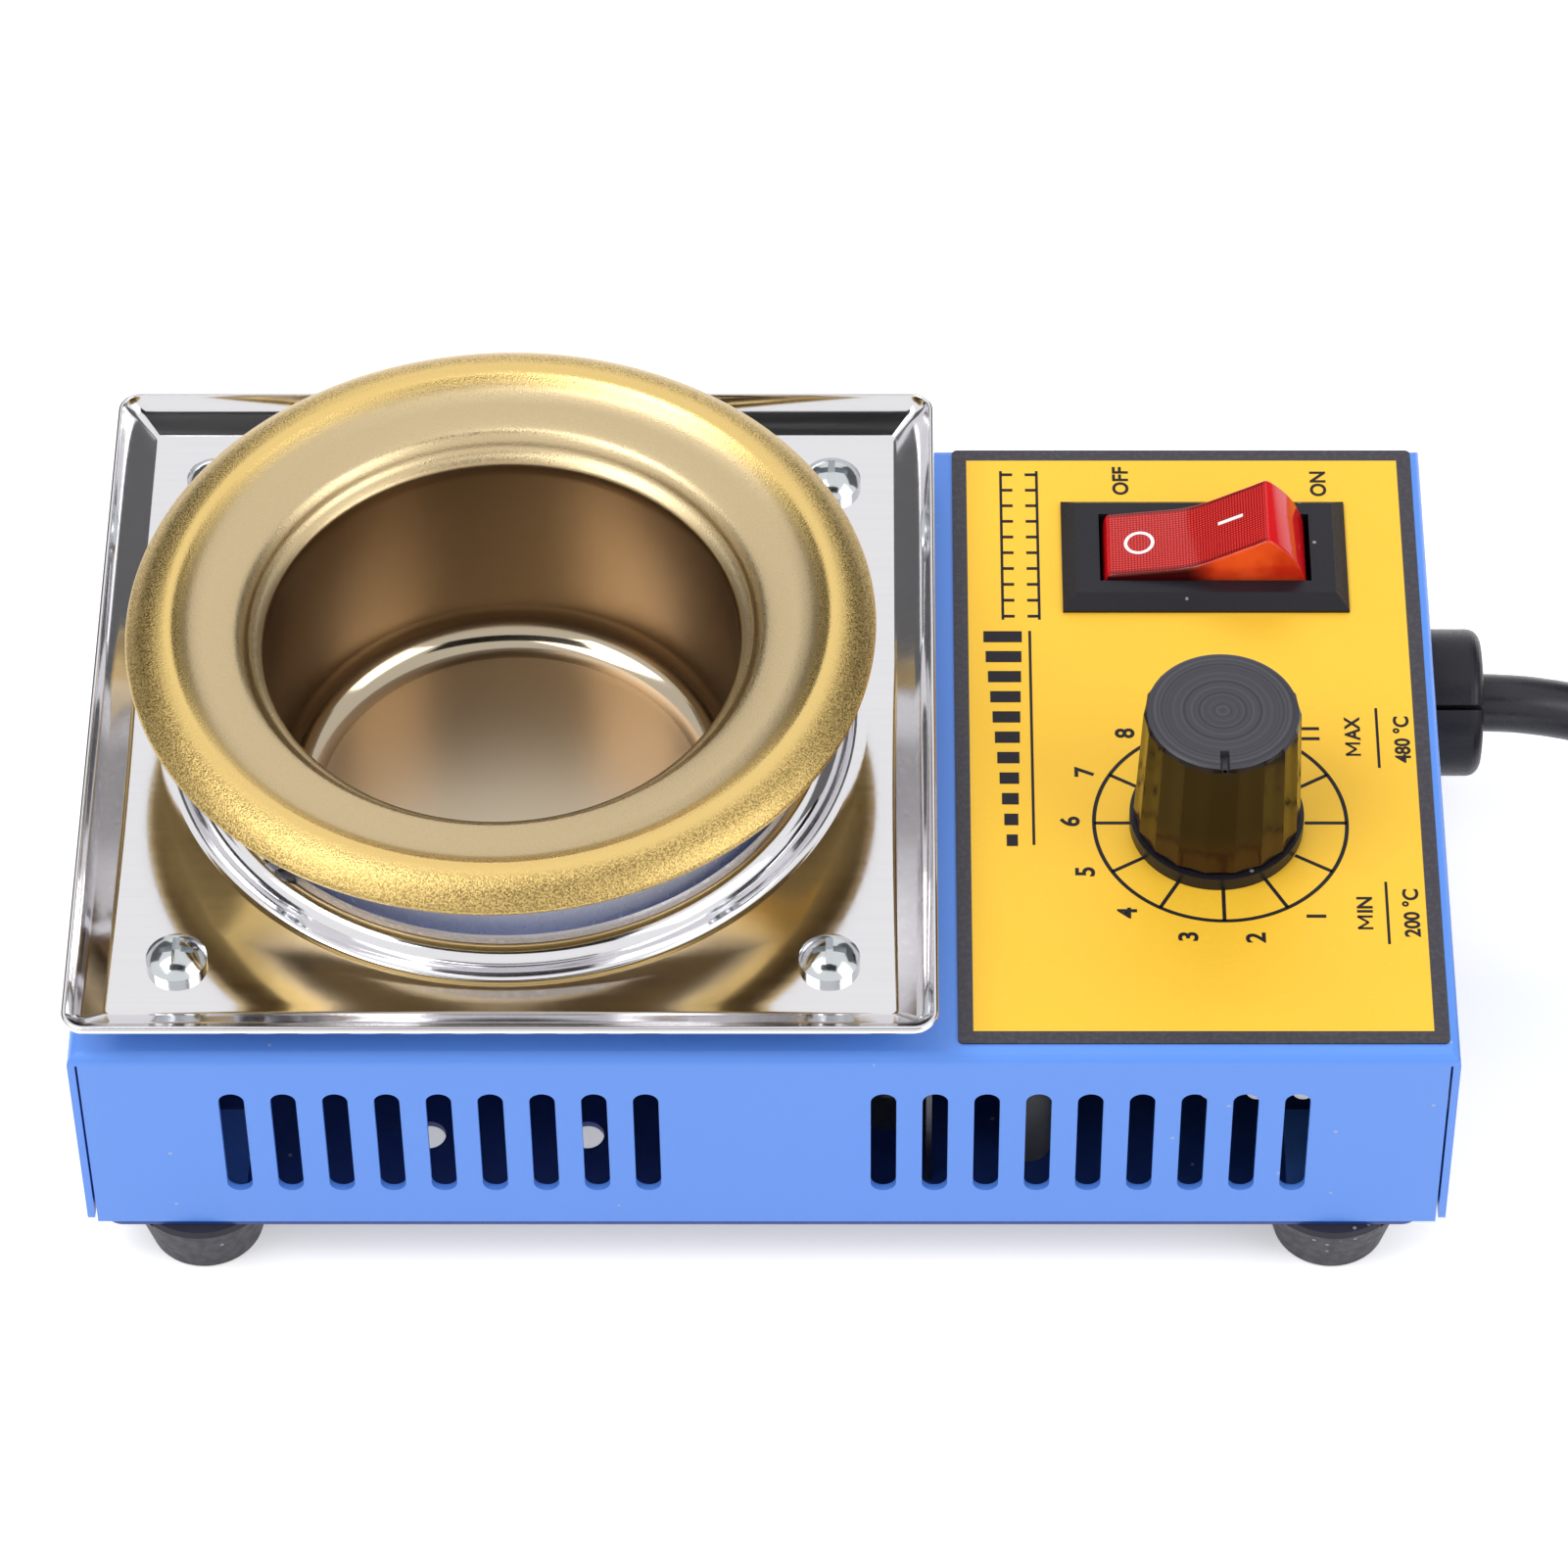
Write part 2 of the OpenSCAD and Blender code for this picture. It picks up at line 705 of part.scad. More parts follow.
module heat_sink() {
    z0 = board_top + 4.4;
    color("silver") {
        box([27, -35, z0], [40, -21, z0 + 1.5]);
        for (i = [0:4]) box([27 + 2.9 * i, -35, z0 + 1.4], [28.4 + 2.9 * i, -21, 35]);
    }
}

module film_capacitor() {
    color([0.75, 0.15, 0.1]) box([54, -34, board_top], [66, -28.4, board_top + 10.5]);
}

module choke() {
    color([0.6, 0.35, 0.15]) translate([47.5, -29.5, 0]) pipe(5.4, 2, board_top, board_top + 8);
}

module resistors() {
    color([0.75, 0.65, 0.45]) for (y = [-21.5, -17, -12.5]) translate([58.6, y, 0]) {
        translate([0, 0, board_top + 1.7]) x_rod(1.3, 1.2, 6.8);
        translate([0, 0, board_top + 1.7]) x_rod(0.3, 0, 8);
        for (x = [0.3, 7.7]) translate([x, 0, 0]) rod(0.3, board_top, board_top + 1.7);
    }
}

module fuse_tube() {
    color([0.8, 0.9, 0.9]) translate([0, 3, board_top + 3.4]) difference() {
        x_rod(2.3, 43, 61);
        x_rod(1.7, 42, 62);
    }
}

module fuse_clips() {
    color("silver") translate([0, 3, board_top + 3.4]) for (x = [43, 61], s = [x > 50 ? 1 : -1]) {
        difference() {
            x_rod(2.6, x - 3, x + 3);
            x_rod(2.33, x - 4 - s, x + 4 - s);
        }
        translate([x + s * 2.6, 0, 0]) x_rod(2.4, -0.4, 0.4);
        box([x - 2, -2.4, -3.4], [x + 2, 2.4, -2.45]);
    }
}

module terminal_block() {
    color("white") difference() {
        box([22, 10, 9], [32, 30, 21]);
        for (y = [14, 20, 26]) translate([27, y, 0]) rod(2.2, 13, 30);
    }
}

module terminal_screws() {
    color("gold") for (y = [14, 20, 26]) translate([27, y, 0]) difference() {
        rod(1.9, 13, 20.4);
        box([-3, -0.3, 19.6], [3, 0.3, 22]);
    }
}

module heater_leads() {
    color("white") {
        tube(through([[8.9, 5, 32], [9.8, 5, 32], [10.7, 5, 32], [14, 9, 28], [17.3, 13, 23],
            [19.3, 17, 18], [19.9, 19.6, 15.5], [20.6, 20, 15], [21.3, 20, 15], [22, 20, 15]], 3), 0.9);
        tube(through([[8.9, -5, 32], [9.8, -5, 32], [10.7, -5, 32], [14, 2, 25.5], [17.3, 8.6, 21.2],
            [19.3, 12, 17.4], [19.9, 13.7, 15.4], [20.6, 14, 15], [21.3, 14, 15], [22, 14, 15]], 3), 0.9);
    }
}

module live_wires() {
    color([0.45, 0.25, 0.12]) {
        tube(through([[62, 18.9, 22.6], [61.2, 18.9, 22.6], [60.4, 18.9, 22.6], [58.5, 19.9, 17.5],
            [56.4, 23.4, 13], [54.4, 26.2, 11.8], [53.9, 26.6, 12.6], [53.9, 26.6, 13.3],
            [53.9, 26.6, 14]], 3), 0.8);
        tube(through([[47.9, 26.6, 14], [47.9, 26.6, 13.3], [47.9, 26.6, 12.6], [47.4, 24.5, 11.4],
            [46, 17, 12], [44.4, 10, 15.5], [44, 4.4, 18.6], [44, 4, 20.2], [44, 4, 21.2],
            [44, 4, 22.2]], 3), 0.8);
        tube(through([[36, -2, 22.2], [36, -2, 21.2], [36, -2, 20.2], [36.5, 3, 16.4],
            [36, 10, 15], [34.6, 13.6, 15], [33.6, 14, 15], [32.8, 14, 15], [32, 14, 15]], 3), 0.8);
    }
}

module neutral_wire() {
    color([0.25, 0.45, 0.85]) tube(through([[62, 16.1, 22.6], [61.2, 16.1, 22.6], [60.4, 16.1, 22.6],
        [57, 15.9, 17.5], [50, 15.5, 15], [42, 17.2, 14.5], [35.6, 19.8, 15],
        [33.6, 20, 15], [32.8, 20, 15], [32, 20, 15]], 3), 0.8);
}

module earth_wire() {
    color([0.35, 0.6, 0.2]) {
        tube(through([[62, 17.5, 25], [61.2, 17.5, 25], [60.4, 17.5, 25], [54, 15.5, 20.5],
            [46, 14, 18.6], [39.5, 17, 17.4], [37.4, 24, 13.5], [37, 28.5, 10.9],
            [37, 29.6, 10.6], [37, 30.3, 10.6], [37, 31, 10.6]], 3), 0.8);
        difference() {
            union() {
                translate([37, 38.5, 0]) rod(3.2, 9, 9.6);
                box([35.8, 31, 9], [38.2, 37, 9.6]);
                translate([37, 33, 10.6]) rotate([90, 0, 0]) cylinder(r = 1.2, h = 4, center = true);
            }
            translate([37, 38.5, 0]) rod(m3_clear_r, 8, 12);
        }
    }
}

module earth_screw() {
    color("silver") translate([37, 38.5, 9.6]) pan_screw(2.9, 2.2, m3_r, 3);
}

// ---- mains cord ----

// one half of the strain relief; side is +1 or -1
module relief_half(side) {
    head = concat([[0, 0]], [[8.15, 0]], arc([6.65, 4.6], 1.5, 0, 90, 6), [[0, 6.1]]);
    color([0.07, 0.07, 0.07]) translate([case_l / 2, cord_y, cord_z]) difference() {
        union() {
            rotate([0, 90, 0]) rotate_extrude() polygon(head);
            x_rod(6.3, -sheet_t - 0.1, 0.1);
            x_rod(6.9, -8, -sheet_t);
        }
        x_rod(cord_r + 0.08, -20, 20);
        rotate([45, 0, 0]) translate([0, -side * 9.7, 0]) cube([40, 20, 30], center = true);
    }
}

module strain_relief_upper() {
    relief_half(1);
}

module strain_relief_lower() {
    relief_half(-1);
}

module cord_lead() {
    color([0.06, 0.06, 0.06]) tube(through(lead_points, 3), cord_r, 12);
}

// the put-away turns, two layers of three, drawn as one closed ring
module cord_coil() {
    color([0.06, 0.06, 0.06]) translate([coil_x, coil_y, 0]) rotate_extrude()
        translate([(coil_in + coil_out) / 2, coil_h / 2])
            rounded_rect(coil_out - coil_in, coil_h, cord_r);
}

module cord_tail() {
    color([0.06, 0.06, 0.06]) tube(through(tail_points, 3), cord_r, 12);
}

module cord_tie() {
    color([0.06, 0.06, 0.06]) translate([coil_x, coil_y, 0]) rotate([0, 0, tie_angle]) difference() {
        box([coil_in - 1, -3, 0], [coil_out + 1, 3, coil_h + 1]);
        box([coil_in, -4, 0.5], [coil_out, 4, coil_h]);
    }
}

module plug_body() {
    color([0.06, 0.06, 0.06]) translate([plug_x, plug_y, plug_z]) {
        x_rod(5, 0, 12);
        translate([9, 0, 0]) rotate([0, 90, 0]) cylinder(r1 = 5, r2 = 10, h = 5);
        translate([13, 0, 0]) rotate([90, 0, 90]) linear_extrude(24) rounded_rect(25, 26, 6);
    }
}

module plug_pins() {
    color("gold") translate([plug_x + 37, plug_y, plug_z]) {
        for (s = [-1, 1]) box([0, s * 6.35 - 0.75, 0.8], [17, s * 6.35 + 0.75, 7.2]);
        translate([0, 0, -7.9]) {
            x_rod(2.4, 0, 17);
            translate([17, 0, 0]) sphere(2.4);
        }
    }
}

case_cover();
base_plate();
foot_front_left();
foot_front_right();
foot_rear_left();
foot_rear_right();
foot_screws();
drip_tray();
tray_screws();
tray_spacers();
tray_nuts();
crucible();
crucible_washer();
crucible_nut();
crucible_bracket();
bracket_screws();
insulation_disc();
heater_band();
clamp_screws();
heat_shield();
shield_screws();
control_label();
switch_housing();
switch_terminals();
rocker();
rocker_plunger();
plunger_spring();
neon_lamp();
contact_lever();
knob();
dial_washer();
potentiometer_body();
potentiometer_shaft();
potentiometer_nut();
potentiometer_pins();
control_board();
board_posts();
triac();
heat_sink();
film_capacitor();
choke();
resistors();
fuse_tube();
fuse_clips();
terminal_block();
terminal_screws();
live_wires();
neutral_wire();
earth_wire();
earth_screw();
heater_leads();
strain_relief_upper();
strain_relief_lower();
cord_lead();
cord_coil();
cord_tail();
cord_tie();
plug_body();
plug_pins();
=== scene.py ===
"""Looks of the solder pot, laid out as a Blender add-on and run as a script.

Sizes are metres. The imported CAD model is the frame; the pieces made here replace or dress its nodes.
"""

import json
import math

import bmesh
import bpy
import numpy as np
from bpy.props import FloatProperty, FloatVectorProperty, IntProperty, PointerProperty
from mathutils import Matrix, Vector


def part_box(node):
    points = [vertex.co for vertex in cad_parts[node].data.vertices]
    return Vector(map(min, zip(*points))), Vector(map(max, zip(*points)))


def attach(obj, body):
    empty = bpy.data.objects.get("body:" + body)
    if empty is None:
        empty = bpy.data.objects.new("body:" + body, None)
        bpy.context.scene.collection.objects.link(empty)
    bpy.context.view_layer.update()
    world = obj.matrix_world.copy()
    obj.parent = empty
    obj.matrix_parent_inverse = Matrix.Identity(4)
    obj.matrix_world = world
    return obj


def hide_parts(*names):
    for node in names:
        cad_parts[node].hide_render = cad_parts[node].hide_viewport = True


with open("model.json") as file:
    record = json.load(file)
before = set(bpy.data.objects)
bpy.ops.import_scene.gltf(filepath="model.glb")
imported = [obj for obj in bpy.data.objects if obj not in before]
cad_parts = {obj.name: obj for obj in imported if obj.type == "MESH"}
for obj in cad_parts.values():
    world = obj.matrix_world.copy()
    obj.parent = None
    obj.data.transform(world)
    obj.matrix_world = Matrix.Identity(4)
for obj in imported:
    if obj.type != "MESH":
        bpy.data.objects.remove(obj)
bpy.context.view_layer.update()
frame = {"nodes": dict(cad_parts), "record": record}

bl_info = {
    "name": "Solder pot",
    "version": (1, 0, 0),
    "blender": (4, 5, 0),
    "location": "3D View > Sidebar > Solder pot",
    "description": "Builds the looks of a bench solder pot round its packed CAD model",
    "category": "Add Mesh",
}

MM = 0.001

# ---------------------------------------------------------------- settings


class PotSizes(bpy.types.PropertyGroup):
    """Sizes of the pieces made here."""

    bore_radius: FloatProperty(
        name="Bore radius", description="Inside radius of the crucible",
        default=0.0252, min=0.02, max=0.03, unit="LENGTH")
    wall: FloatProperty(
        name="Wall", description="Thickness of the crucible's wall",
        default=0.001, min=0.0005, max=0.002, unit="LENGTH")
    tray_sheet: FloatProperty(
        name="Tray sheet", description="Thickness of the drip tray's sheet",
        default=0.0008, min=0.0005, max=0.0012, unit="LENGTH")
    dial_radius: FloatProperty(
        name="Dial radius", description="Radius of the printed circle round the knob",
        default=0.0135, min=0.01, max=0.015, unit="LENGTH")
    digit_height: FloatProperty(
        name="Digit height", description="Height of the numbers printed round the knob",
        default=0.0020, min=0.001, max=0.003, unit="LENGTH")
    cord_diameter: FloatProperty(
        name="Cord diameter", description="Thickness of the mains cord",
        default=0.0064, min=0.005, max=0.008, unit="LENGTH")
    facets: IntProperty(
        name="Knob facets", description="Number of flats round the knob",
        default=18, min=8, max=36)


class PotColours(bpy.types.PropertyGroup):
    """Colours of the visible finishes, as linear values."""

    case: FloatVectorProperty(
        name="Case", description="Enamel of the folded case", subtype="COLOR",
        size=3, min=0, max=1, default=(0.105, 0.285, 0.84))
    label: FloatVectorProperty(
        name="Label", description="Ground of the printed panel film", subtype="COLOR",
        size=3, min=0, max=1, default=(0.89, 0.525, 0.032))
    ink: FloatVectorProperty(
        name="Ink", description="Print and border of the panel film", subtype="COLOR",
        size=3, min=0, max=1, default=(0.034, 0.031, 0.042))
    gold: FloatVectorProperty(
        name="Crucible", description="Golden oxide of the crucible", subtype="COLOR",
        size=3, min=0, max=1, default=(0.65, 0.465, 0.175))
    rocker: FloatVectorProperty(
        name="Rocker", description="Clear red plastic of the rocker", subtype="COLOR",
        size=3, min=0, max=1, default=(0.30, 0.003, 0.005))


# ---------------------------------------------------------------- meshes


def grid_mesh(name, points, round_u=False, round_v=False, sharp=None, merge=1e-7):
    """Mesh of a grid of points.

    points has shape (U, V, 3). Each quad joins (i, j), (i+1, j), (i+1, j+1) and (i, j+1), and a
    round direction joins its last row to its first. Poles are merged, and uv is (i/U, j/V).
    """
    rows, cols = points.shape[:2]
    i = np.arange(rows if round_u else rows - 1)
    j = np.arange(cols if round_v else cols - 1)
    i0, j0 = (a.ravel() for a in np.meshgrid(i, j, indexing="ij"))
    i1, j1 = (i0 + 1) % rows, (j0 + 1) % cols
    quads = np.stack([i0 * cols + j0, i1 * cols + j0, i1 * cols + j1, i0 * cols + j1], axis=1)
    mesh = bpy.data.meshes.new(name)
    mesh.from_pydata(points.reshape(-1, 3).tolist(), [], quads.tolist())
    u = np.stack([i0, i0 + 1, i0 + 1, i0], axis=1) / rows
    v = np.stack([j0, j0, j0 + 1, j0 + 1], axis=1) / cols
    layer = mesh.uv_layers.new(name="uv")
    layer.data.foreach_set("uv", np.stack([u, v], axis=-1).ravel().astype(np.float32))
    tidy_mesh(mesh, merge)
    shade(mesh, sharp)
    return mesh


def tidy_mesh(mesh, merge=1e-7):
    """Merges doubles, drops flat faces and turns every face outwards."""
    work = bmesh.new()
    work.from_mesh(mesh)
    bmesh.ops.remove_doubles(work, verts=work.verts, dist=merge)
    bmesh.ops.dissolve_degenerate(work, edges=work.edges, dist=1e-8)
    bmesh.ops.recalc_face_normals(work, faces=work.faces)
    work.to_mesh(mesh)
    work.free()


def shade(mesh, sharp=None):
    """Smooth shading, with edges over sharp degrees kept crisp."""
    mesh.polygons.foreach_set("use_smooth", np.ones(len(mesh.polygons), dtype=bool))
    if sharp is not None:
        mesh.set_sharp_from_angle(angle=math.radians(sharp))
    mesh.update()


def revolve(name, profile, centre, turns=256, closed=True, sharp=35):
    """Solid of revolution: (r, z) is carried round the upright axis through centre (x, y)."""
    angle = np.linspace(0, 2 * np.pi, turns, endpoint=False)[:, None]
    r, z = profile[None, :, 0], profile[None, :, 1]
    points = np.stack([centre[0] + r * np.cos(angle), centre[1] + r * np.sin(angle),
                       np.broadcast_to(z, (turns, len(profile)))], axis=-1)
    return grid_mesh(name, points, round_u=True, round_v=closed, sharp=sharp)


def curve_through(points, steps):
    """Catmull-Rom curve: each span blends its four neighbours with cubic weights."""
    p = np.asarray(points, float)
    ends = np.concatenate([p[:1] * 2 - p[1:2], p, p[-1:] * 2 - p[-2:-1]])
    a, b, c, d = (ends[k:len(p) - 1 + k][:, None] for k in range(4))
    t = np.linspace(0, 1, steps, endpoint=False)[None, :, None]
    span = 0.5 * (2 * b + (c - a) * t + (2 * a - 5 * b + 4 * c - d) * t ** 2
                  + (3 * b - 3 * c + d - a) * t ** 3)
    return np.concatenate([span.reshape(-1, p.shape[1]), p[-1:]])


def arc(centre, radius, start, end, steps):
    """Points centre + radius (cos a, sin a), with a from start to end degrees."""
    a = np.radians(np.linspace(start, end, steps + 1))
    return np.stack([centre[0] + radius * np.cos(a), centre[1] + radius * np.sin(a)], axis=-1)


def path_normals(path):
    """Unit normals to the right of a flat path, from its central differences."""
    step = np.gradient(path, axis=0)
    step /= np.linalg.norm(step, axis=1, keepdims=True)
    return np.stack([step[:, 1], -step[:, 0]], axis=-1)


def tube_mesh(name, path, radius, sides=24):
    """Round tube: rings of radius round each point, square to the path, closed at its ends."""
    path = np.asarray(path, float)
    along = np.gradient(path, axis=0)
    along /= np.linalg.norm(along, axis=1, keepdims=True)
    side = np.cross(along, np.array([0.0, 0.03, 1.0]))
    side /= np.linalg.norm(side, axis=1, keepdims=True)
    up = np.cross(side, along)
    a = np.linspace(0, 2 * np.pi, sides, endpoint=False)[None, :, None]
    rings = path[:, None] + radius * (np.cos(a) * side[:, None] + np.sin(a) * up[:, None])
    caps = [np.broadcast_to(path[k], (1, sides, 3)) for k in (0, -1)]
    return grid_mesh(name, np.concatenate([caps[0], rings, caps[1]]), round_v=True, sharp=50)


def ring_mesh(name, centre, inner, outer, low, high, start=0.0, end=360.0, sides=128):
    """Flat bar bent round an upright axis, between two radii, two heights and two angles."""
    section = np.array([[inner, low], [outer, low], [outer, high], [inner, high]])
    whole = end - start >= 360
    a = np.radians(np.linspace(start, end, sides, endpoint=not whole))[:, None]
    r, z = section[None, :, 0], section[None, :, 1]
    points = np.stack([centre[0] + r * np.cos(a), centre[1] + r * np.sin(a),
                       np.broadcast_to(z, (sides, 4))], axis=-1)
    if not whole:
        caps = [np.broadcast_to(points[k].mean(axis=0), (1, 4, 3)) for k in (0, -1)]
        points = np.concatenate([caps[0], points, caps[1]])
    return grid_mesh(name, points, round_u=whole, round_v=True, sharp=30)


def bar_mesh(name, bars, low, high):
    """Thin upright-sided bars: each row is x, y, length, width and turn in degrees."""
    b = np.asarray(bars, float)
    c, s = np.cos(np.radians(b[:, 4])), np.sin(np.radians(b[:, 4]))
    corner = np.array([[-.5, -.5], [.5, -.5], [.5, .5], [-.5, .5]])
    dx, dy = corner[:, 0] * b[:, 2:3], corner[:, 1] * b[:, 3:4]
    x = b[:, 0:1] + dx * c[:, None] - dy * s[:, None]
    y = b[:, 1:2] + dx * s[:, None] + dy * c[:, None]
    flat = np.stack([x, y], axis=-1)
    both = np.concatenate([np.concatenate([flat, np.full(flat.shape[:2] + (1,), z)], axis=-1)
                           for z in (low, high)], axis=1)
    faces = np.array([[3, 2, 1, 0], [4, 5, 6, 7], [0, 1, 5, 4], [1, 2, 6, 5], [2, 3, 7, 6], [3, 0, 4, 7]])
    index = (np.arange(len(b))[:, None, None] * 8 + faces[None]).reshape(-1, 4)
    mesh = bpy.data.meshes.new(name)
    mesh.from_pydata(both.reshape(-1, 3).tolist(), [], index.tolist())
    mesh.update()
    return mesh


def text_mesh(name, words, height, place, turn, thick=0.00003, weight=0.0):
    """Letters of a given height, centred on place, turned about Z, made a mesh in place."""
    curve = bpy.data.curves.new(name, "FONT")
    curve.body = words
    curve.size = height / 0.7 / MM
    curve.align_x = "CENTER"
    curve.extrude = thick / MM
    curve.offset = weight / MM
    curve.resolution_u = 6
    holder = bpy.data.objects.new(name, curve)
    bpy.context.scene.collection.objects.link(holder)
    bpy.context.view_layer.update()
    mesh = bpy.data.meshes.new_from_object(holder.evaluated_get(bpy.context.evaluated_depsgraph_get()))
    mesh.name = name
    bpy.data.objects.remove(holder)
    bpy.data.curves.remove(curve)
    mesh.transform(Matrix.Translation((0, -height / 2, 0)) @ Matrix.Scale(MM, 4))
    mesh.transform(Matrix.Translation(place) @ Matrix.Rotation(math.radians(turn), 4, "Z"))
    return mesh


def add_piece(name, mesh, material, body="base", replaces=()):
    """Puts a finished mesh into the scene, on its body, with its finish."""
    piece = bpy.data.objects.new(name, mesh)
    bpy.context.scene.collection.objects.link(piece)
    mesh.materials.clear()
    mesh.materials.append(material)
    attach(piece, body)
    if replaces:
        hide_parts(*replaces)
    return piece


def joined(name, meshes):
    """One mesh of several."""
    work = bmesh.new()
    for mesh in meshes:
        work.from_mesh(mesh)
    out = bpy.data.meshes.new(name)
    work.to_mesh(out)
    work.free()
    for mesh in meshes:
        bpy.data.meshes.remove(mesh)
    return out


# ---------------------------------------------------------------- materials


class Shade:
    """Short hand for one node tree: add nodes, link them and do sums."""

    def __init__(self, tree):
        self.tree = tree
        self.nodes = tree.nodes

    def add(self, kind, props=None, **inputs):
        """A node with its properties and inputs; an input is a value or another socket."""
        node = self.nodes.new(kind)
        for key, value in (props or {}).items():
            setattr(node, key, value)
        for key, value in inputs.items():
            self.put(node.inputs[key.replace("_", " ")], value)
        return node

    def put(self, socket, value):
        if isinstance(value, bpy.types.NodeSocket):
            self.tree.links.new(value, socket)
        else:
            socket.default_value = value

    def sum(self, operation, a, b=0.0, c=0.0):
        node = self.nodes.new("ShaderNodeMath")
        node.operation = operation
        for socket, value in zip(node.inputs, (a, b, c)):
            self.put(socket, value)
        return node.outputs[0]

    def range(self, value, low, high, to_low=0.0, to_high=1.0):
        node = self.nodes.new("ShaderNodeMapRange")
        node.interpolation_type = "SMOOTHSTEP"
        for key, v in (("Value", value), ("From Min", low), ("From Max", high),
                       ("To Min", to_low), ("To Max", to_high)):
            self.put(node.inputs[key], v)
        return node.outputs["Result"]

    def blend(self, factor, a, b):
        node = self.nodes.new("ShaderNodeMix")
        node.data_type = "RGBA"
        self.put(node.inputs[0], factor)
        self.put(node.inputs[6], a)
        self.put(node.inputs[7], b)
        return node.outputs[2]

    def split(self, vector):
        return self.add("ShaderNodeSeparateXYZ", Vector=vector).outputs

    def looked_at(self):
        """1 for what the camera sees, straight, in a mirror or through glass."""
        path = self.add("ShaderNodeLightPath").outputs
        seen = self.sum("MAXIMUM", path["Is Camera Ray"], path["Is Glossy Ray"])
        return self.sum("MAXIMUM", seen, path["Is Transmission Ray"])

    def group(self, tree, **inputs):
        node = self.nodes.new("ShaderNodeGroup")
        node.node_tree = tree
        for key, value in inputs.items():
            self.put(node.inputs[key.replace("_", " ")], value)
        return node.outputs


def rgba(colour, scale=1.0):
    return tuple(min(1.0, c * scale) for c in colour[:3]) + (1.0,)


def new_group(name, inputs, outputs):
    """A shader node group with named sockets; returns it, its hand, and its two end nodes."""
    tree = bpy.data.node_groups.new(name, "ShaderNodeTree")
    for label, kind, value in inputs:
        socket = tree.interface.new_socket(label, in_out="INPUT", socket_type=kind)
        if value is not None:
            socket.default_value = value
    for label, kind in outputs:
        tree.interface.new_socket(label, in_out="OUTPUT", socket_type=kind)
    hand = Shade(tree)
    return tree, hand, hand.nodes.new("NodeGroupInput").outputs, hand.nodes.new("NodeGroupOutput").inputs


def mottle_group():
    """Two sizes of noise: a slow one for the colour and a fine one for gloss and bump."""
    tree, s, given, out = new_group(
        "mottle",
        [("Vector", "NodeSocketVector", None), ("Slow Scale", "NodeSocketFloat", 60.0),
         ("Fine Scale", "NodeSocketFloat", 900.0), ("Stretch", "NodeSocketVector", (1, 1, 1))],
        [("Slow", "NodeSocketFloat"), ("Fine", "NodeSocketFloat")])
    where = s.add("ShaderNodeVectorMath", {"operation": "MULTIPLY"})
    s.put(where.inputs[0], given["Vector"])
    s.put(where.inputs[1], given["Stretch"])
    slow = s.add("ShaderNodeTexNoise", Vector=where.outputs[0], Scale=given["Slow Scale"], Detail=3.0)
    fine = s.add("ShaderNodeTexNoise", Vector=where.outputs[0], Scale=given["Fine Scale"], Detail=4.0)
    s.put(out["Slow"], slow.outputs[0])
    s.put(out["Fine"], fine.outputs[0])
    return tree


def speck_group():
    """Sparse small dots, for dust and flecks: cells whose centre is near and whose dice is high."""
    tree, s, given, out = new_group(
        "specks",
        [("Vector", "NodeSocketVector", None), ("Scale", "NodeSocketFloat", 400.0),
         ("Share", "NodeSocketFloat", 0.1), ("Size", "NodeSocketFloat", 0.2)],
        [("Mask", "NodeSocketFloat")])
    cell = s.add("ShaderNodeTexVoronoi", Vector=given["Vector"], Scale=given["Scale"])
    dice = s.split(cell.outputs["Color"])[0]
    near = s.sum("LESS_THAN", cell.outputs["Distance"], given["Size"])
    lucky = s.sum("LESS_THAN", dice, given["Share"])
    s.put(out["Mask"], s.sum("MULTIPLY", near, lucky))
    return tree


GROUPS = {}


def shared(name):
    """The shared node groups, each built once."""
    if name not in GROUPS:
        GROUPS[name] = {"mottle": mottle_group, "specks": speck_group}[name]()
    return GROUPS[name]


def new_material(name):
    """A material with a Principled shader; returns it, its hand, the shader and Object coordinates."""
    material = bpy.data.materials.new(name)
    material.use_nodes = True
    hand = Shade(material.node_tree)
    shader = next(n for n in hand.nodes if n.type == "BSDF_PRINCIPLED")
    where = hand.add("ShaderNodeTexCoord").outputs["Object"]
    return material, hand, shader, where


def bump(hand, shader, height, depth, strength=1.0):
    node = hand.add("ShaderNodeBump", Height=height, Distance=depth, Strength=strength)
    hand.put(shader.inputs["Normal"], node.outputs[0])


def plain_material(name, colour, rough=0.5, metal=0.0, vary=0.1, grain=900.0, depth=0.00002,
                   dust=0.0, coat=0.0, slow=60.0, stretch=(1, 1, 1), specular=0.5):
    """A finish with slow colour change, fine grain in its gloss and bump, and sparse dust."""
    material, s, shader, where = new_material(name)
    noise = s.group(shared("mottle"), Vector=where, Slow_Scale=slow, Fine_Scale=grain, Stretch=stretch)
    base = s.blend(noise["Slow"], rgba(colour, 1 - vary), rgba(colour, 1 + vary))
    if dust:
        specks = s.group(shared("specks"), Vector=where, Scale=700.0, Share=dust, Size=0.16)
        base = s.blend(s.sum("MULTIPLY", specks["Mask"], 0.5), base, (0.5, 0.5, 0.52, 1))
    s.put(shader.inputs["Base Color"], base)
    s.put(shader.inputs["Roughness"], s.range(noise["Fine"], 0.3, 0.7, rough * 0.85, min(1, rough * 1.15)))
    shader.inputs["Metallic"].default_value = metal
    shader.inputs["Specular IOR Level"].default_value = specular
    shader.inputs["Coat Weight"].default_value = coat
    bump(s, shader, noise["Fine"], depth)
    return material


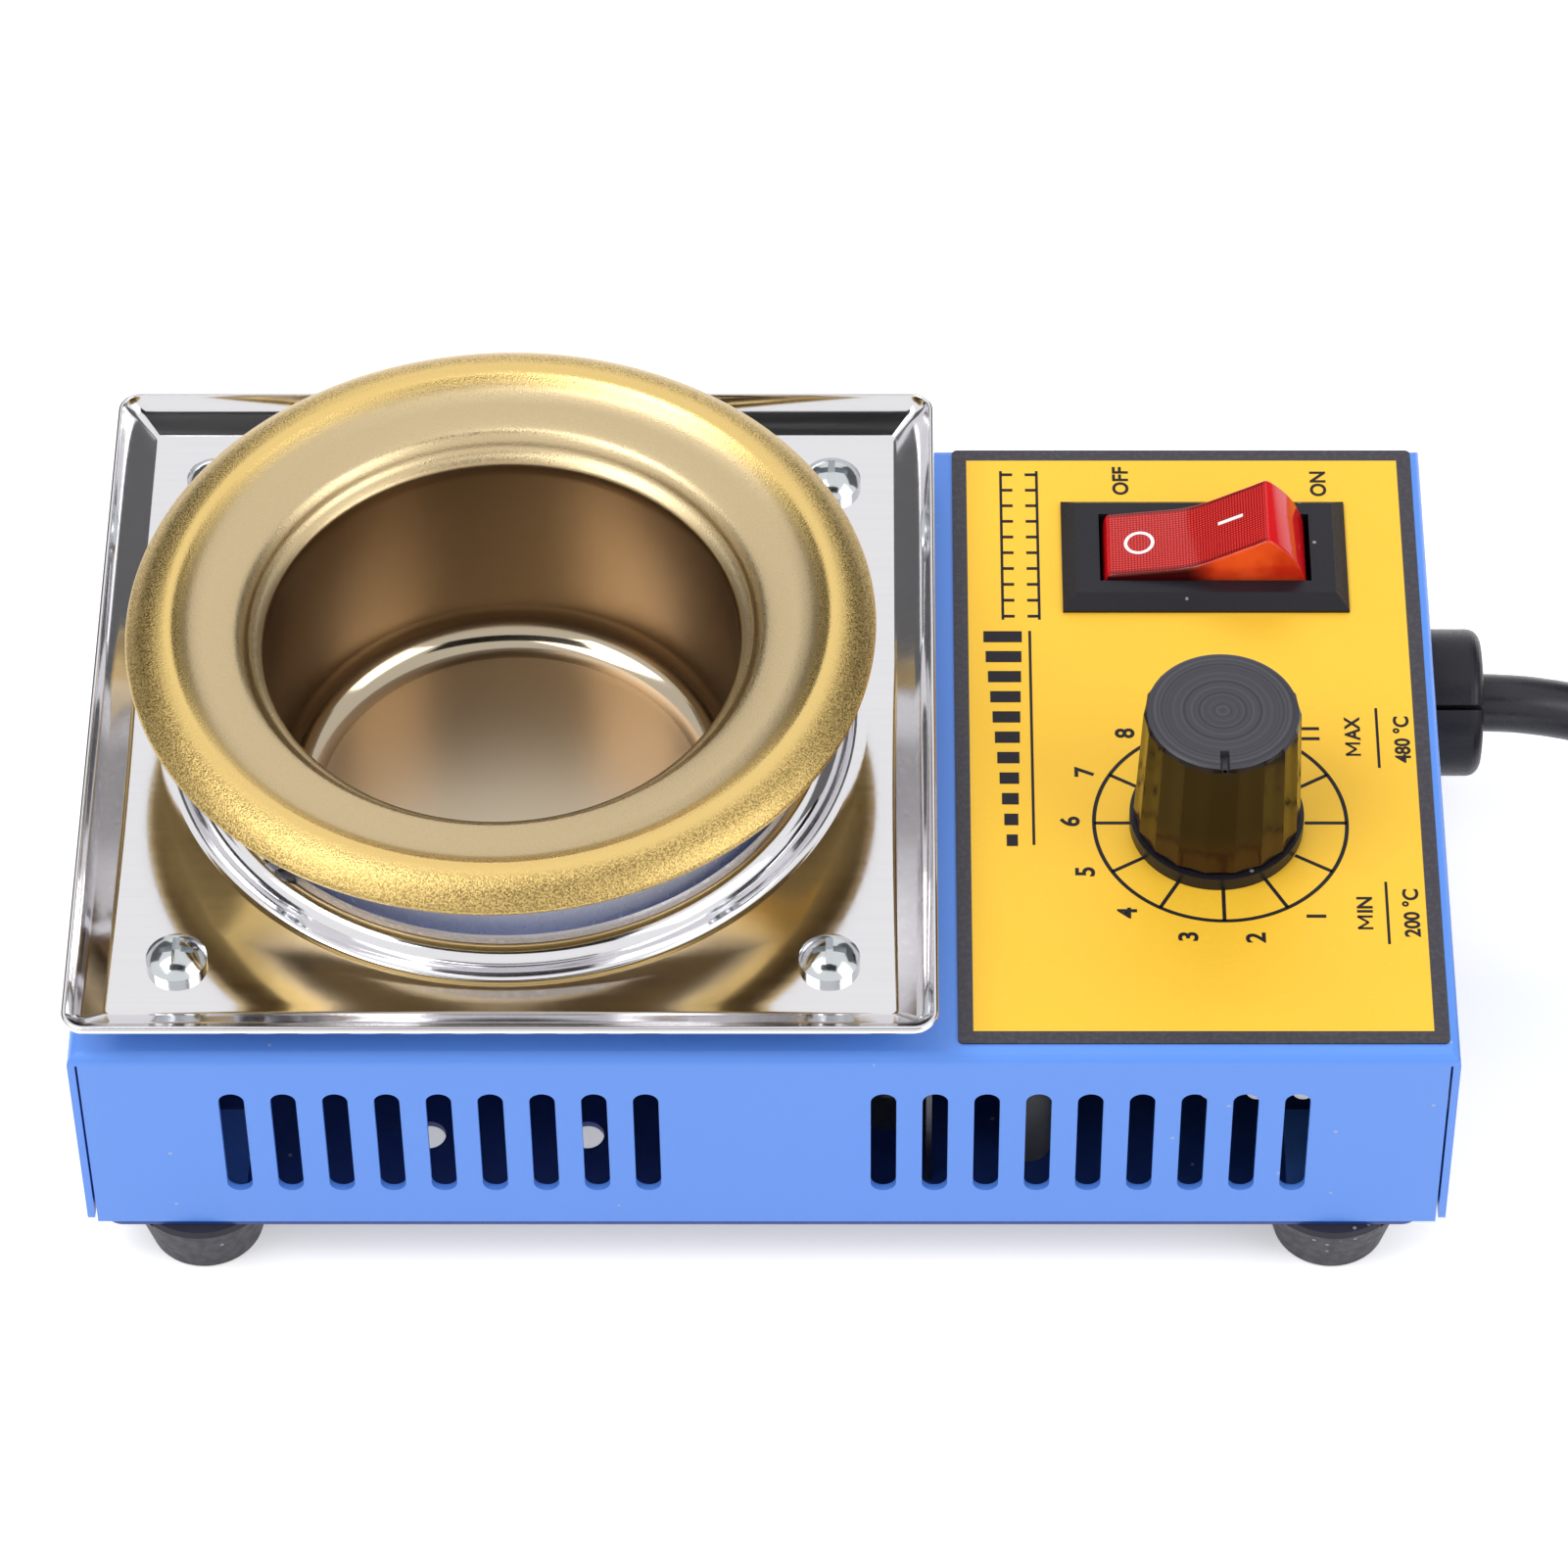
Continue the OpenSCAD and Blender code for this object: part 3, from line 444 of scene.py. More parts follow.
def crucible_material(colour):
    """Golden metal: coarse blasted flange, brushed wall, mirror corner and satin floor, with a painted
    highlight along the flange's crest.
    """
    material, s, shader, where = new_material("crucible_gold")
    x, y, z = s.split(where)
    dx = s.sum("SUBTRACT", x, -0.028)
    radius = s.sum("SQRT", s.sum("ADD", s.sum("MULTIPLY", dx, dx), s.sum("MULTIPLY", y, y)))
    noise = s.group(shared("mottle"), Vector=where, Slow_Scale=45.0, Fine_Scale=2600.0)
    coarse = s.add("ShaderNodeTexNoise", Vector=where, Scale=5200.0, Detail=2.0).outputs[0]
    flange = s.range(z, 0.0530, 0.0545)
    skirt = s.range(radius, 0.0358, 0.0372)
    crest = s.range(z, 0.0576, 0.0583)
    floor = s.range(radius, 0.0214, 0.0208)
    floor = s.sum("MULTIPLY", floor, s.range(z, 0.0285, 0.0275))
    ring = s.sum("MULTIPLY", s.range(z, 0.0291, 0.0282), s.sum("SUBTRACT", 1.0, floor))
    gold = s.blend(noise["Slow"], rgba(colour, 0.90), rgba(colour, 1.08))
    wall = s.blend(noise["Slow"], (0.21, 0.135, 0.072, 1), (0.29, 0.195, 0.11, 1))
    dish = s.range(radius, 0.0345, 0.0325)
    gold = s.blend(s.sum("MULTIPLY", dish, 0.8), gold, (0.62, 0.50, 0.32, 1))
    # painted highlight: the flange's rolled crest is painted a paler, brighter gold
    gold = s.blend(s.sum("MULTIPLY", crest, 0.7), gold, rgba(colour, 1.45))
    base = s.blend(flange, wall, gold)
    speckle = s.sum("MULTIPLY", skirt, s.range(coarse, 0.38, 0.62, 0.6, 0.0))
    base = s.blend(speckle, base, (0.10, 0.065, 0.02, 1))
    base = s.blend(floor, base, (0.62, 0.53, 0.40, 1))
    base = s.blend(ring, base, (0.46, 0.39, 0.29, 1))
    s.put(shader.inputs["Base Color"], base)
    rough = s.range(flange, 0, 1, 0.30, 0.33)
    rough = s.sum("ADD", rough, s.sum("MULTIPLY", s.range(coarse, 0.3, 0.7, -0.06, 0.08), flange))
    rough = s.sum("SUBTRACT", rough, s.sum("MULTIPLY", ring, 0.20))
    rough = s.sum("SUBTRACT", rough, s.sum("MULTIPLY", crest, 0.10))
    rough = s.sum("ADD", rough, s.sum("MULTIPLY", floor, 0.02))
    s.put(shader.inputs["Roughness"], rough)
    shader.inputs["Metallic"].default_value = 1.0
    rise = s.sum("MULTIPLY", coarse, s.range(flange, 0, 1, 0.15, 1.0))
    rise = s.sum("MULTIPLY", rise, s.range(skirt, 0, 1, 0.55, 1.0))
    rise = s.sum("MULTIPLY", rise, s.sum("SUBTRACT", 1.0, s.sum("MULTIPLY", ring, 0.95)))
    bump(s, shader, rise, 0.00009, 0.55)
    return material


def tray_material():
    """Polished stainless sheet with fine brush lines along X."""
    material, s, shader, where = new_material("tray_polish")
    lines = s.group(shared("mottle"), Vector=where, Slow_Scale=30.0, Fine_Scale=900.0,
                    Stretch=(0.025, 1.6, 1.0))
    base = s.blend(lines["Fine"], (0.75, 0.74, 0.765, 1), (0.81, 0.80, 0.825, 1))
    s.put(shader.inputs["Base Color"], base)
    s.put(shader.inputs["Roughness"], s.range(lines["Fine"], 0.3, 0.75, 0.08, 0.12))
    shader.inputs["Metallic"].default_value = 1.0
    bump(s, shader, lines["Fine"], 0.000001, 0.35)
    return material


def label_material(box, ground, ink):
    """Printed film: a dark border of 1.6 mm round a slightly cloudy yellow ground."""
    (x0, y0, _), (x1, y1, _) = box
    material, s, shader, where = new_material("label_print")
    x, y, _z = s.split(where)
    dx = s.sum("SUBTRACT", (x1 - x0) / 2, s.sum("ABSOLUTE", s.sum("SUBTRACT", x, (x0 + x1) / 2)))
    dy = s.sum("SUBTRACT", (y1 - y0) / 2, s.sum("ABSOLUTE", s.sum("SUBTRACT", y, (y0 + y1) / 2)))
    edge = s.sum("MINIMUM", dx, dy)
    inside = s.range(edge, 0.00155, 0.00165)
    noise = s.group(shared("mottle"), Vector=where, Slow_Scale=35.0, Fine_Scale=1800.0)
    yellow = s.blend(noise["Slow"], rgba(ground, 0.93), rgba(ground, 1.06))
    yellow = s.blend(s.range(noise["Fine"], 0.55, 0.8, 0.0, 0.35), yellow, (0.93, 0.62, 0.13, 1))
    dark = s.blend(s.range(noise["Fine"], 0.4, 0.7), rgba(ink, 0.9), (0.052, 0.049, 0.062, 1))
    s.put(shader.inputs["Base Color"], s.blend(inside, dark, yellow))
    s.put(shader.inputs["Roughness"], s.range(noise["Fine"], 0.3, 0.7, 0.38, 0.52))
    bump(s, shader, noise["Fine"], 0.00001, 0.4)
    return material


def rocker_material(colour):
    """Clear red plastic: a dot grid under the surface, painted shade as dark outlines on the top's edges,
    and a side painted bright orange at one end and dark at the other, painted light and shade.
    """
    material, s, shader, where = new_material("rocker_red")
    turned = s.add("ShaderNodeMapping", {"vector_type": "TEXTURE"}, Vector=where)
    turned.inputs["Location"].default_value = (0.0479, 0.0266, 0.036)
    turned.inputs["Rotation"].default_value = (0, math.radians(-18), 0)
    x, y, z = s.split(turned.outputs[0])
    pitch = 2 * math.pi / 0.00066
    wave_x, wave_y = (s.sum("SINE", s.sum("MULTIPLY", along, pitch)) for along in (x, y))
    waves = s.sum("MULTIPLY", wave_x, wave_y)
    dots = s.range(s.sum("ABSOLUTE", waves), 0.25, 0.7)
    side = s.range(s.sum("ABSOLUTE", y), 0.0043, 0.0046)
    end = s.range(s.sum("ABSOLUTE", x), 0.0086, 0.0094)
    noise = s.group(shared("mottle"), Vector=where, Slow_Scale=180.0, Fine_Scale=1500.0)
    red = s.blend(noise["Slow"], rgba(colour, 0.75), rgba(colour, 1.1))
    top = s.blend(s.sum("MULTIPLY", dots, 0.85), red, (0.78, 0.05, 0.04, 1))
    # painted shade: the top's rounded long edges darken to near black
    edge = s.sum("MULTIPLY", s.range(s.sum("ABSOLUTE", y), 0.0038, 0.0043), s.sum("SUBTRACT", 1.0, side))
    top = s.blend(s.sum("MULTIPLY", edge, 0.75), top, (0.10, 0.002, 0.002, 1))
    # painted light and shade on the side: bright orange where light shines through the clear red, dark
    # towards -x where the side is in shade
    glow = s.blend(s.range(noise["Slow"], 0.3, 0.7), (0.62, 0.02, 0.006, 1), (0.95, 0.10, 0.02, 1))
    glow = s.blend(s.range(x, -0.001, 0.003), (0.06, 0.003, 0.003, 1), glow)
    base = s.blend(side, top, glow)
    base = s.blend(s.sum("MULTIPLY", end, s.sum("SUBTRACT", 1.0, side)), base, (0.62, 0.006, 0.01, 1))
    s.put(shader.inputs["Base Color"], base)
    s.put(shader.inputs["Roughness"], s.range(noise["Fine"], 0.3, 0.7, 0.10, 0.18))
    shader.inputs["Specular IOR Level"].default_value = 0.35
    bump(s, shader, noise["Fine"], 0.000006, 0.4)
    return material


def knob_top_material():
    """Turned black plastic: fine rings round the knob's axis."""
    material, s, shader, where = new_material("knob_turned")
    x, y, _z = s.split(where)
    dx, dy = s.sum("SUBTRACT", x, 0.048), s.sum("SUBTRACT", y, -0.0116)
    radius = s.sum("SQRT", s.sum("ADD", s.sum("MULTIPLY", dx, dx), s.sum("MULTIPLY", dy, dy)))
    rings = s.add("ShaderNodeCombineXYZ", X=s.sum("MULTIPLY", radius, 1.0)).outputs[0]
    noise = s.add("ShaderNodeTexNoise", Vector=rings, Scale=2600.0, Detail=2.0).outputs[0]
    rings = s.range(noise, 0.30, 0.70)
    s.put(shader.inputs["Base Color"], s.blend(rings, (0.016, 0.015, 0.021, 1), (0.056, 0.053, 0.068, 1)))
    s.put(shader.inputs["Roughness"], s.range(noise, 0.3, 0.7, 0.34, 0.5))
    bump(s, shader, rings, 0.00004, 0.6)
    return material


def smoke_material():
    """Clear brown plastic of the knob's skirt; its lowest band is painted lighter amber, painted light
    shining through the clear plastic.
    """
    material, s, shader, where = new_material("knob_smoke")
    _x, _y, z = s.split(where)
    noise = s.group(shared("mottle"), Vector=where, Slow_Scale=120.0, Fine_Scale=1200.0)
    # painted light: amber at the skirt's foot, fading to the deep brown above 45.5 mm
    painted_glow_fade = s.range(z, 0.0405, 0.0455)
    deep = s.blend(noise["Slow"], (0.009, 0.0055, 0.0035, 1), (0.017, 0.010, 0.006, 1))
    s.put(shader.inputs["Base Color"], s.blend(painted_glow_fade, (0.045, 0.019, 0.006, 1), deep))
    s.put(shader.inputs["Roughness"], s.range(noise["Fine"], 0.3, 0.7, 0.10, 0.2))
    shader.inputs["Transmission Weight"].default_value = 0.04
    shader.inputs["Specular IOR Level"].default_value = 0.22
    bump(s, shader, noise["Fine"], 0.000006, 0.4)
    return material


def chrome_material(name, tint=(0.88, 0.87, 0.86), rough=0.12):
    return plain_material(name, tint, rough, 1.0, vary=0.04, grain=1500.0, depth=0.000006)


FINISHES = {}


def finish(slot):
    """The material of a record's slot, made the first time it is asked for."""
    colours = bpy.context.scene.pot_colours
    makers = {
        "case_paint": lambda: plain_material("case_enamel", colours.case, 0.36, vary=0.03, slow=25.0,
                                             grain=1400.0, depth=0.000008, dust=0.02, coat=0.15),
        # the base plate's darker blue paints the shade under the case
        "base_paint": lambda: plain_material("base_enamel_painted_shade", (0.02, 0.055, 0.26), 0.4, vary=0.06, dust=0.02),
        "foot_rubber": lambda: plain_material("foot_rubber", (0.028, 0.026, 0.036), 0.5, vary=0.2,
                                              dust=0.12, depth=0.00003, specular=0.35),
        "screw_steel": lambda: chrome_material("zinc_bright", (0.62, 0.65, 0.67), 0.13),
        "tray_steel": tray_material,
        "crucible_steel": lambda: crucible_material(colours.gold),
        "inner_steel": lambda: chrome_material("galvanised", (0.22, 0.22, 0.23), 0.5),
        "insulation": lambda: plain_material("fibre_board", (0.12, 0.10, 0.08), 0.9, vary=0.12,
                                             depth=0.0001),
        # painted reflection: the sheath is near-white lavender and only partly metallic, so the band shows
        # bright as the mirrored collar would
        "heater_steel": lambda: plain_material("heater_sheath", (0.90, 0.89, 0.92), 0.25, 0.4, vary=0.06,
                                                  depth=0.000006),
        "label_film": lambda: label_material(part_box("control_label"), colours.label, colours.ink),
        "black_plastic": lambda: plain_material("black_moulding", (0.012, 0.011, 0.016), 0.36, vary=0.2,
                                                grain=2600.0, depth=0.00003, dust=0.03, specular=0.3),
        "white_plastic": lambda: plain_material("pale_moulding", (0.20, 0.20, 0.19), 0.45, vary=0.05),
        "dull_zinc": lambda: chrome_material("zinc_dull", (0.16, 0.16, 0.17), 0.45),
        "red_plastic": lambda: rocker_material(colours.rocker),
        "lamp_glass": lambda: plain_material("lamp_glass", (0.95, 0.45, 0.2), 0.1, vary=0.1),
        "contact_brass": lambda: plain_material("brass", (0.75, 0.53, 0.2), 0.25, 1.0, vary=0.1),
        "knob_plastic": smoke_material,
        "board_laminate": lambda: plain_material("board_green", (0.03, 0.17, 0.06), 0.35, vary=0.2),
        "sink_aluminium": lambda: plain_material("aluminium_dark", (0.05, 0.05, 0.055), 0.4, 0.6, vary=0.1),
        "choke_copper": lambda: plain_material("copper_winding", (0.5, 0.2, 0.07), 0.35, 0.6, vary=0.2),
        "resistor_tan": lambda: plain_material("resistor_tan", (0.6, 0.46, 0.28), 0.5, vary=0.1),
        "fuse_glass": lambda: plain_material("fuse_glass", (0.8, 0.86, 0.86), 0.08, vary=0.05),
        "porcelain": lambda: plain_material("porcelain", (0.22, 0.21, 0.19), 0.3, vary=0.04),
        "brown_wire": lambda: plain_material("brown_wire", (0.22, 0.09, 0.04), 0.45),
        "blue_wire": lambda: plain_material("blue_wire", (0.05, 0.15, 0.6), 0.45),
        "green_wire": lambda: plain_material("green_wire", (0.15, 0.42, 0.06), 0.45),
        "lead_sleeve": lambda: plain_material("lead_sleeve", (0.16, 0.15, 0.13), 0.85, vary=0.1,
                                              depth=0.0001),
        "cord_rubber": lambda: plain_material("cord_jacket", (0.016, 0.015, 0.021), 0.28, vary=0.25,
                                              grain=700.0, depth=0.00001, dust=0.02, specular=0.4),
        "ink": lambda: plain_material("label_ink", (0.013, 0.011, 0.016), 0.5, vary=0.15, grain=2500.0,
                                      specular=0.25),
        "white_ink": lambda: plain_material("white_ink", (0.92, 0.86, 0.86), 0.4, vary=0.05),
        "knob_top": knob_top_material,
        "knob_core": lambda: plain_material("knob_core", (0.045, 0.026, 0.014), 0.5, vary=0.3),
    }
    if slot not in FINISHES:
        FINISHES[slot] = makers[slot]()
    return FINISHES[slot]


# ---------------------------------------------------------------- camera and cord

# the cord's lead and tail in metres, as in the part's source
LEAD = np.array([
    [62, 17.5, 23.4], [70, 17.5, 23.4], [78.6, 17.5, 23.4], [85, 17.5, 22.8],
    [92, 17.5, 20.8], [99, 17.5, 17], [105, 17.5, 12.7], [111, 17.5, 8.7],
    [117, 17.5, 5.5], [123, 17.5, 3.8], [130, 17.5, 3.2],
]) * MM
TAIL = np.array([
    [115.5, 9.7, 10.4], [120, 14.3, 11.2], [125.7, 20, 12.1], [130, 23.6, 12.6],
    [135, 26.8, 12.9], [141, 29.5, 13], [147, 31.1, 13], [153, 31.7, 13], [157, 31.7, 13],
]) * MM
COIL_MIDDLE = (0.141, -0.0249)
# the coil's outermost turn, the step between turns and the cord's radius, in mm
COIL_RADIUS, COIL_PITCH, CORD_RADIUS = 42.4, 6.6, 3.2


def ease(value, low, high):
    """Smooth step: 0 below low, 1 above high, 3t^2 - 2t^3 between them."""
    t = np.clip((value - low) / (high - low), 0, 1)
    return t * t * (3 - 2 * t)


def coil_path(per_turn=60):
    """Five turns in six places, two layers of three.

    Clockwise from the back, each turn keeps its place and then moves over by one pitch: the upper
    turns move outwards between 35 and 140 degrees, the third climbs between 145 and 250, and the
    lower turns move inwards between 250 and 360.
    """
    turn = np.linspace(0, 4.875, int(per_turn * 4.875) + 1)
    k, part = np.floor(turn), (turn % 1) * 360
    inwards, up, outwards = ease(part, 250, 360), ease(part, 145, 250), ease(part, 35, 140)
    place = np.select(
        [k == 0, k == 1, k == 2, k == 3, k == 4],
        [0 - inwards, -1 - inwards, -2 + 0 * part, -2 + outwards, -1 + outwards])
    radius = (COIL_RADIUS + COIL_PITCH * place) * MM
    height = (CORD_RADIUS + COIL_PITCH * np.select([k < 2, k == 2], [0 * part, up], 1)) * MM
    angle = np.radians(90 - part)
    return np.stack([COIL_MIDDLE[0] + radius * np.cos(angle),
                     COIL_MIDDLE[1] + radius * np.sin(angle), height], axis=-1)


def cord_path():
    """The lead, the coil and the tail as one smooth run."""
    coil = coil_path()
    last = curve_through(np.concatenate([coil[-3::2], TAIL]), 4)[4:]
    return np.concatenate([curve_through(LEAD, 4), coil[2:-1], last])


class POT_OT_camera(bpy.types.Operator):
    """Adds the camera: in front of the pot, looking down on it"""

    bl_idname = "pot.camera"
    bl_label = "Camera"

    def execute(self, context):
        data = bpy.data.cameras.new("camera")
        data.sensor_width = 36
        data.lens = 159.29
        data.shift_x = -0.05265
        data.clip_start, data.clip_end = 0.01, 20
        camera = bpy.data.objects.new("camera", data)
        camera.location = (0.01067, -0.48854, 0.60404)
        camera.rotation_euler = (math.radians(40.4), 0, 0)
        context.scene.collection.objects.link(camera)
        context.scene.camera = camera
        return {"FINISHED"}


class POT_OT_cord(bpy.types.Operator):
    """Lays the mains cord from its outlet to the coil and on to the plug"""

    bl_idname = "pot.cord"
    bl_label = "Mains cord"

    def execute(self, context):
        sizes = context.scene.pot_sizes
        path = cord_path()
        inside, outside = path[:9], path[8:]
        mesh = tube_mesh("mains_cord", outside, sizes.cord_diameter / 2, 24)
        cord = add_piece("mains_cord", mesh, finish("cord_rubber"),
                         replaces=("cord_coil", "cord_tail"))
        mesh = tube_mesh("cord_inner_end", inside, sizes.cord_diameter / 2, 24)
        add_piece("cord_inner_end", mesh, finish("cord_rubber"),
                  replaces=("cord_lead",))
        length = float(np.linalg.norm(np.diff(outside, axis=0), axis=1).sum())
        print("cord length", round(length, 3))
        return {"FINISHED"}


# ---------------------------------------------------------------- pieces

CRUCIBLE = (-0.028, 0.0)
TRAY = (-0.0272, 0.0)
KNOB = (0.048, -0.0116)
SWITCH = (0.0479, 0.0266)
PANEL = 0.0372


class POT_OT_crucible(bpy.types.Operator):
    """Turns the crucible: bore, rolled flange, outer skin and the stud below"""

    bl_idname = "pot.crucible"
    bl_label = "Crucible"

    def execute(self, context):
        sizes = context.scene.pot_sizes
        bore = sizes.bore_radius / MM
        flange = np.array([
            [0, 0], [0.2, 0.6], [0.7, 1.0], [1.2, 1.3], [1.6, 1.7], [2.0, 2.4], [2.7, 3.1],
            [3.7, 3.4], [5.4, 3.65], [6.6, 3.8], [7.8, 4.15], [8.8, 4.7], [9.9, 5.2],
            [11.6, 4.9], [13, 4.3], [14.3, 3.3]]) + [bore, 53.2]
        floor = np.array([[0, 27.0], [10, 27.0], [20.2, 27.0], [20.7, 26.98]])
        corner = arc((bore - 4.2, 31.2), 4.2, -87, 0, 24)
        wall = np.array([[bore, 36], [bore, 42], [bore, 48], [bore, 52.0]])
        top = np.concatenate([floor, corner, wall, curve_through(flange, 4)])
        out = top + sizes.wall / MM * path_normals(top)
        out = out[out[:, 0] > 2.6][::-1]
        lip = arc((top[-1] + out[0]) / 2, sizes.wall / MM / 2, 52, -128, 8)[1:-1]
        stud = np.array([[2.5, 25.95], [2.5, 13.3], [2.2, 13.0], [0, 13.0]])
        profile = np.concatenate([top, lip, out, stud]) * MM
        mesh = revolve("crucible_turned", profile, CRUCIBLE, 288, closed=False, sharp=40)
        add_piece("crucible_turned", mesh, finish("crucible_steel"),
                  replaces=("crucible",))
        return {"FINISHED"}


def tray_section(sheet):
    """Rings of the tray in mm, from the collar's lip out to the rim and back underneath.

    Each row is: half width or radius, height, corner radius, and how square the ring is.
    """
    lip = np.array([[33.0, 3.2], [33.7, 3.2], [34.4, 3.1], [35.3, 2.6], [35.9, 1.8], [36.2, 0.9],
                    [36.6, 0.25], [37.4, 0]])
    lip = curve_through(lip, 6)
    flat = np.array([[38.0, 0], [38.8, 0], [39.6, 0]])
    slope = math.degrees(math.atan2(3.0, 4.35))
    bend = arc((40.55, 1.2), 1.2, -90, -90 + slope, 8)
    rise = np.array([[43, 0], [44.7, 0]])
    rise[:, 1] = (rise[:, 0] - 40.95) * 3.0 / 4.35
    edge = arc((44.95, 2.55), 0.35, 90 + 35, -10, 8)
    top = np.concatenate([lip, flat, bend, rise, edge])
    under = np.array([[45.25, 2.15], [44.9, 1.9], [43, 0.62], [41.4, -0.62], [41.0, -sheet], [39.6, -sheet],
                      [38.0, -sheet], [37.2, -sheet], [36.0, -0.3], [35.4, 0.9], [35.0, 1.7],
                      [34.3, 2.2], [33.0, 2.4]])
    whole = np.concatenate([top, under])
    square = np.clip((whole[:, 0] - 37.4) / 2.2, 0, 1)
    corner = np.interp(whole[:, 0], [39.6, 41.5, 43.5, 45.3], [0.5, 0.5, 0.9, 2.6])
    return np.column_stack([whole, corner, square])


class POT_OT_tray(bpy.types.Operator):
    """Presses the drip tray: collar, flat floor, mitred flared rim"""

    bl_idname = "pot.tray"
    bl_label = "Drip tray"

    def execute(self, context):
        section = tray_section(context.scene.pot_sizes.tray_sheet / MM)
        half, height, corner, square = (section[:, k] for k in range(4))
        side = np.linspace(-1, 1, 49)[:-1]
        bow = np.radians(np.linspace(0, 90, 17)[:-1])
        # one side and one corner of each ring, then the same turned three times
        flat_x = np.broadcast_to(half, (48, len(half)))
        flat_y = side[:, None] * (half - corner)[None]
        bend_x = (half - corner)[None] + corner[None] * np.cos(bow)[:, None]
        bend_y = (half - corner)[None] + corner[None] * np.sin(bow)[:, None]
        x, y = np.concatenate([flat_x, bend_x]), np.concatenate([flat_y, bend_y])
        turn = np.radians([0, 90, 180, 270])[:, None, None]
        sx = (x[None] * np.cos(turn) - y[None] * np.sin(turn)).reshape(-1, len(half))
        sy = (x[None] * np.sin(turn) + y[None] * np.cos(turn)).reshape(-1, len(half))
        angle = np.arctan2(sy[:, -20:-19], sx[:, -20:-19])
        cx, cy = half[None] * np.cos(angle), half[None] * np.sin(angle)
        px, py = cx + (sx - cx) * square[None], cy + (sy - cy) * square[None]
        points = np.stack([px * MM + TRAY[0], py * MM + TRAY[1],
                           np.broadcast_to(height * MM + 0.0413, px.shape)], axis=-1)
        mesh = grid_mesh("drip_tray_pressed", points, round_u=True, round_v=True, sharp=60)
        add_piece("drip_tray_pressed", mesh, finish("tray_steel"),
                  replaces=("drip_tray",))
        return {"FINISHED"}


def notched(points):
    """Sinks a slot into the knob's top: heights over 54.8 mm drop to it where x is within 0.4 mm
    of the axis and y is more than 5.7 mm in front of it."""
    dx, dy = np.abs(points[..., 0] - KNOB[0]) / MM, (KNOB[1] - points[..., 1]) / MM
    inside = (1 - ease(dx, 0.32, 0.46)) * ease(dy, 5.6, 5.8)
    out = points.copy()
    out[..., 2] -= inside * np.maximum(points[..., 2] - 54.8 * MM, 0)
    return out


class POT_OT_knob(bpy.types.Operator):
    """Makes the knob: a clear brown faceted skirt, a dark core and a turned top"""

    bl_idname = "pot.knob"
    bl_label = "Knob"

    def execute(self, context):
        count = context.scene.pot_sizes.facets
        angle = np.linspace(0, 2 * np.pi, count * 16, endpoint=False)
        within = (angle * count / (2 * np.pi)) % 1 - 0.5
        # a flat's distance from the axis is the apothem over the cosine of the angle from its middle
        flat = math.cos(math.pi / count) / np.cos(within * 2 * math.pi / count)
        flat *= 1 - 0.006 * np.cos(np.pi * within) ** 2
        outside = np.array([[8.86, 39.32], [8.9, 39.5], [8.72, 43.8], [8.52, 49.2], [8.34, 54.0],
                            [8.29, 54.9], [8.02, 55.35]])
        inside = np.array([[7.6, 55.2], [7.2, 54.6], [7.25, 46], [7.3, 39.6], [7.5, 39.32]])
        shape = np.concatenate([outside, inside])
        share = np.concatenate([np.ones(6), [0.7], np.zeros(5)])
        r = shape[None, :, 0] * (1 + (flat[:, None] - 1) * share[None])
        points = np.stack([KNOB[0] + r * MM * np.cos(angle)[:, None],
                           KNOB[1] + r * MM * np.sin(angle)[:, None],
                           np.broadcast_to(shape[:, 1] * MM, r.shape)], axis=-1)
        mesh = grid_mesh("knob_skirt", notched(points), round_u=True, round_v=True, sharp=12)
        add_piece("knob_skirt", mesh, finish("knob_plastic"), "knob", ("knob",))
        core = np.array([[0, 54.5], [7.0, 54.5], [7.1, 54.3], [7.1, 42.0], [6.9, 41.8], [3.1, 41.8],
                         [3.1, 49.8], [0, 49.8]]) * MM
        mesh = revolve("knob_core", core, KNOB, 96, closed=False)
        add_piece("knob_core", mesh, finish("knob_core"), "knob")
        crown = np.array([[0, 55.5], [2, 55.52], [4, 55.54], [5.4, 55.55], [5.5, 55.55], [5.6, 55.55],
                          [5.7, 55.55], [5.8, 55.55], [5.9, 55.55], [6.5, 55.58], [7.2, 55.6],
                          [7.75, 55.55], [8.0, 55.38], [7.9, 55.0],
                          [7.2, 54.62], [0, 54.62]])
        round_crown = np.linspace(0, 2 * np.pi, 480, endpoint=False)[:, None]
        rr = np.broadcast_to(crown[None, :, 0], (480, len(crown)))
        px, py = rr * np.cos(round_crown), rr * np.sin(round_crown)
        points = np.stack([KNOB[0] + px * MM, KNOB[1] + py * MM,
                           np.broadcast_to(crown[:, 1] * MM, px.shape)], axis=-1)
        mesh = grid_mesh("knob_crown", notched(points), round_u=True, sharp=30)
        add_piece("knob_crown", mesh, finish("knob_top"), "knob")
        return {"FINISHED"}


# the rocker's hollow top, in mm round its pivot
HOLLOW = curve_through([[-7.5, 6.2], [-5, 5.72], [-2.6, 5.25], [-1.2, 5.02], [0, 4.95],
                        [1.2, 5.02], [2.6, 5.25], [5, 5.72], [7.5, 6.2]], 4)


def rocker_outline():
    """The rocker's level outline in mm round its pivot: two end arcs and a hollow top."""
    right = arc((0, 0), 11.3, -32, 32.5, 16)
    right_tip = arc((8.9, 5.95), 0.55, 35, 95, 4)
    left_tip = right_tip[::-1] * [-1, 1]
    left = right[::-1] * [-1, 1]
    base = np.array([[-7, -5.99], [0, -5.99], [7, -5.99]])
    return np.concatenate([right, right_tip, HOLLOW[::-1], left_tip, left, base])


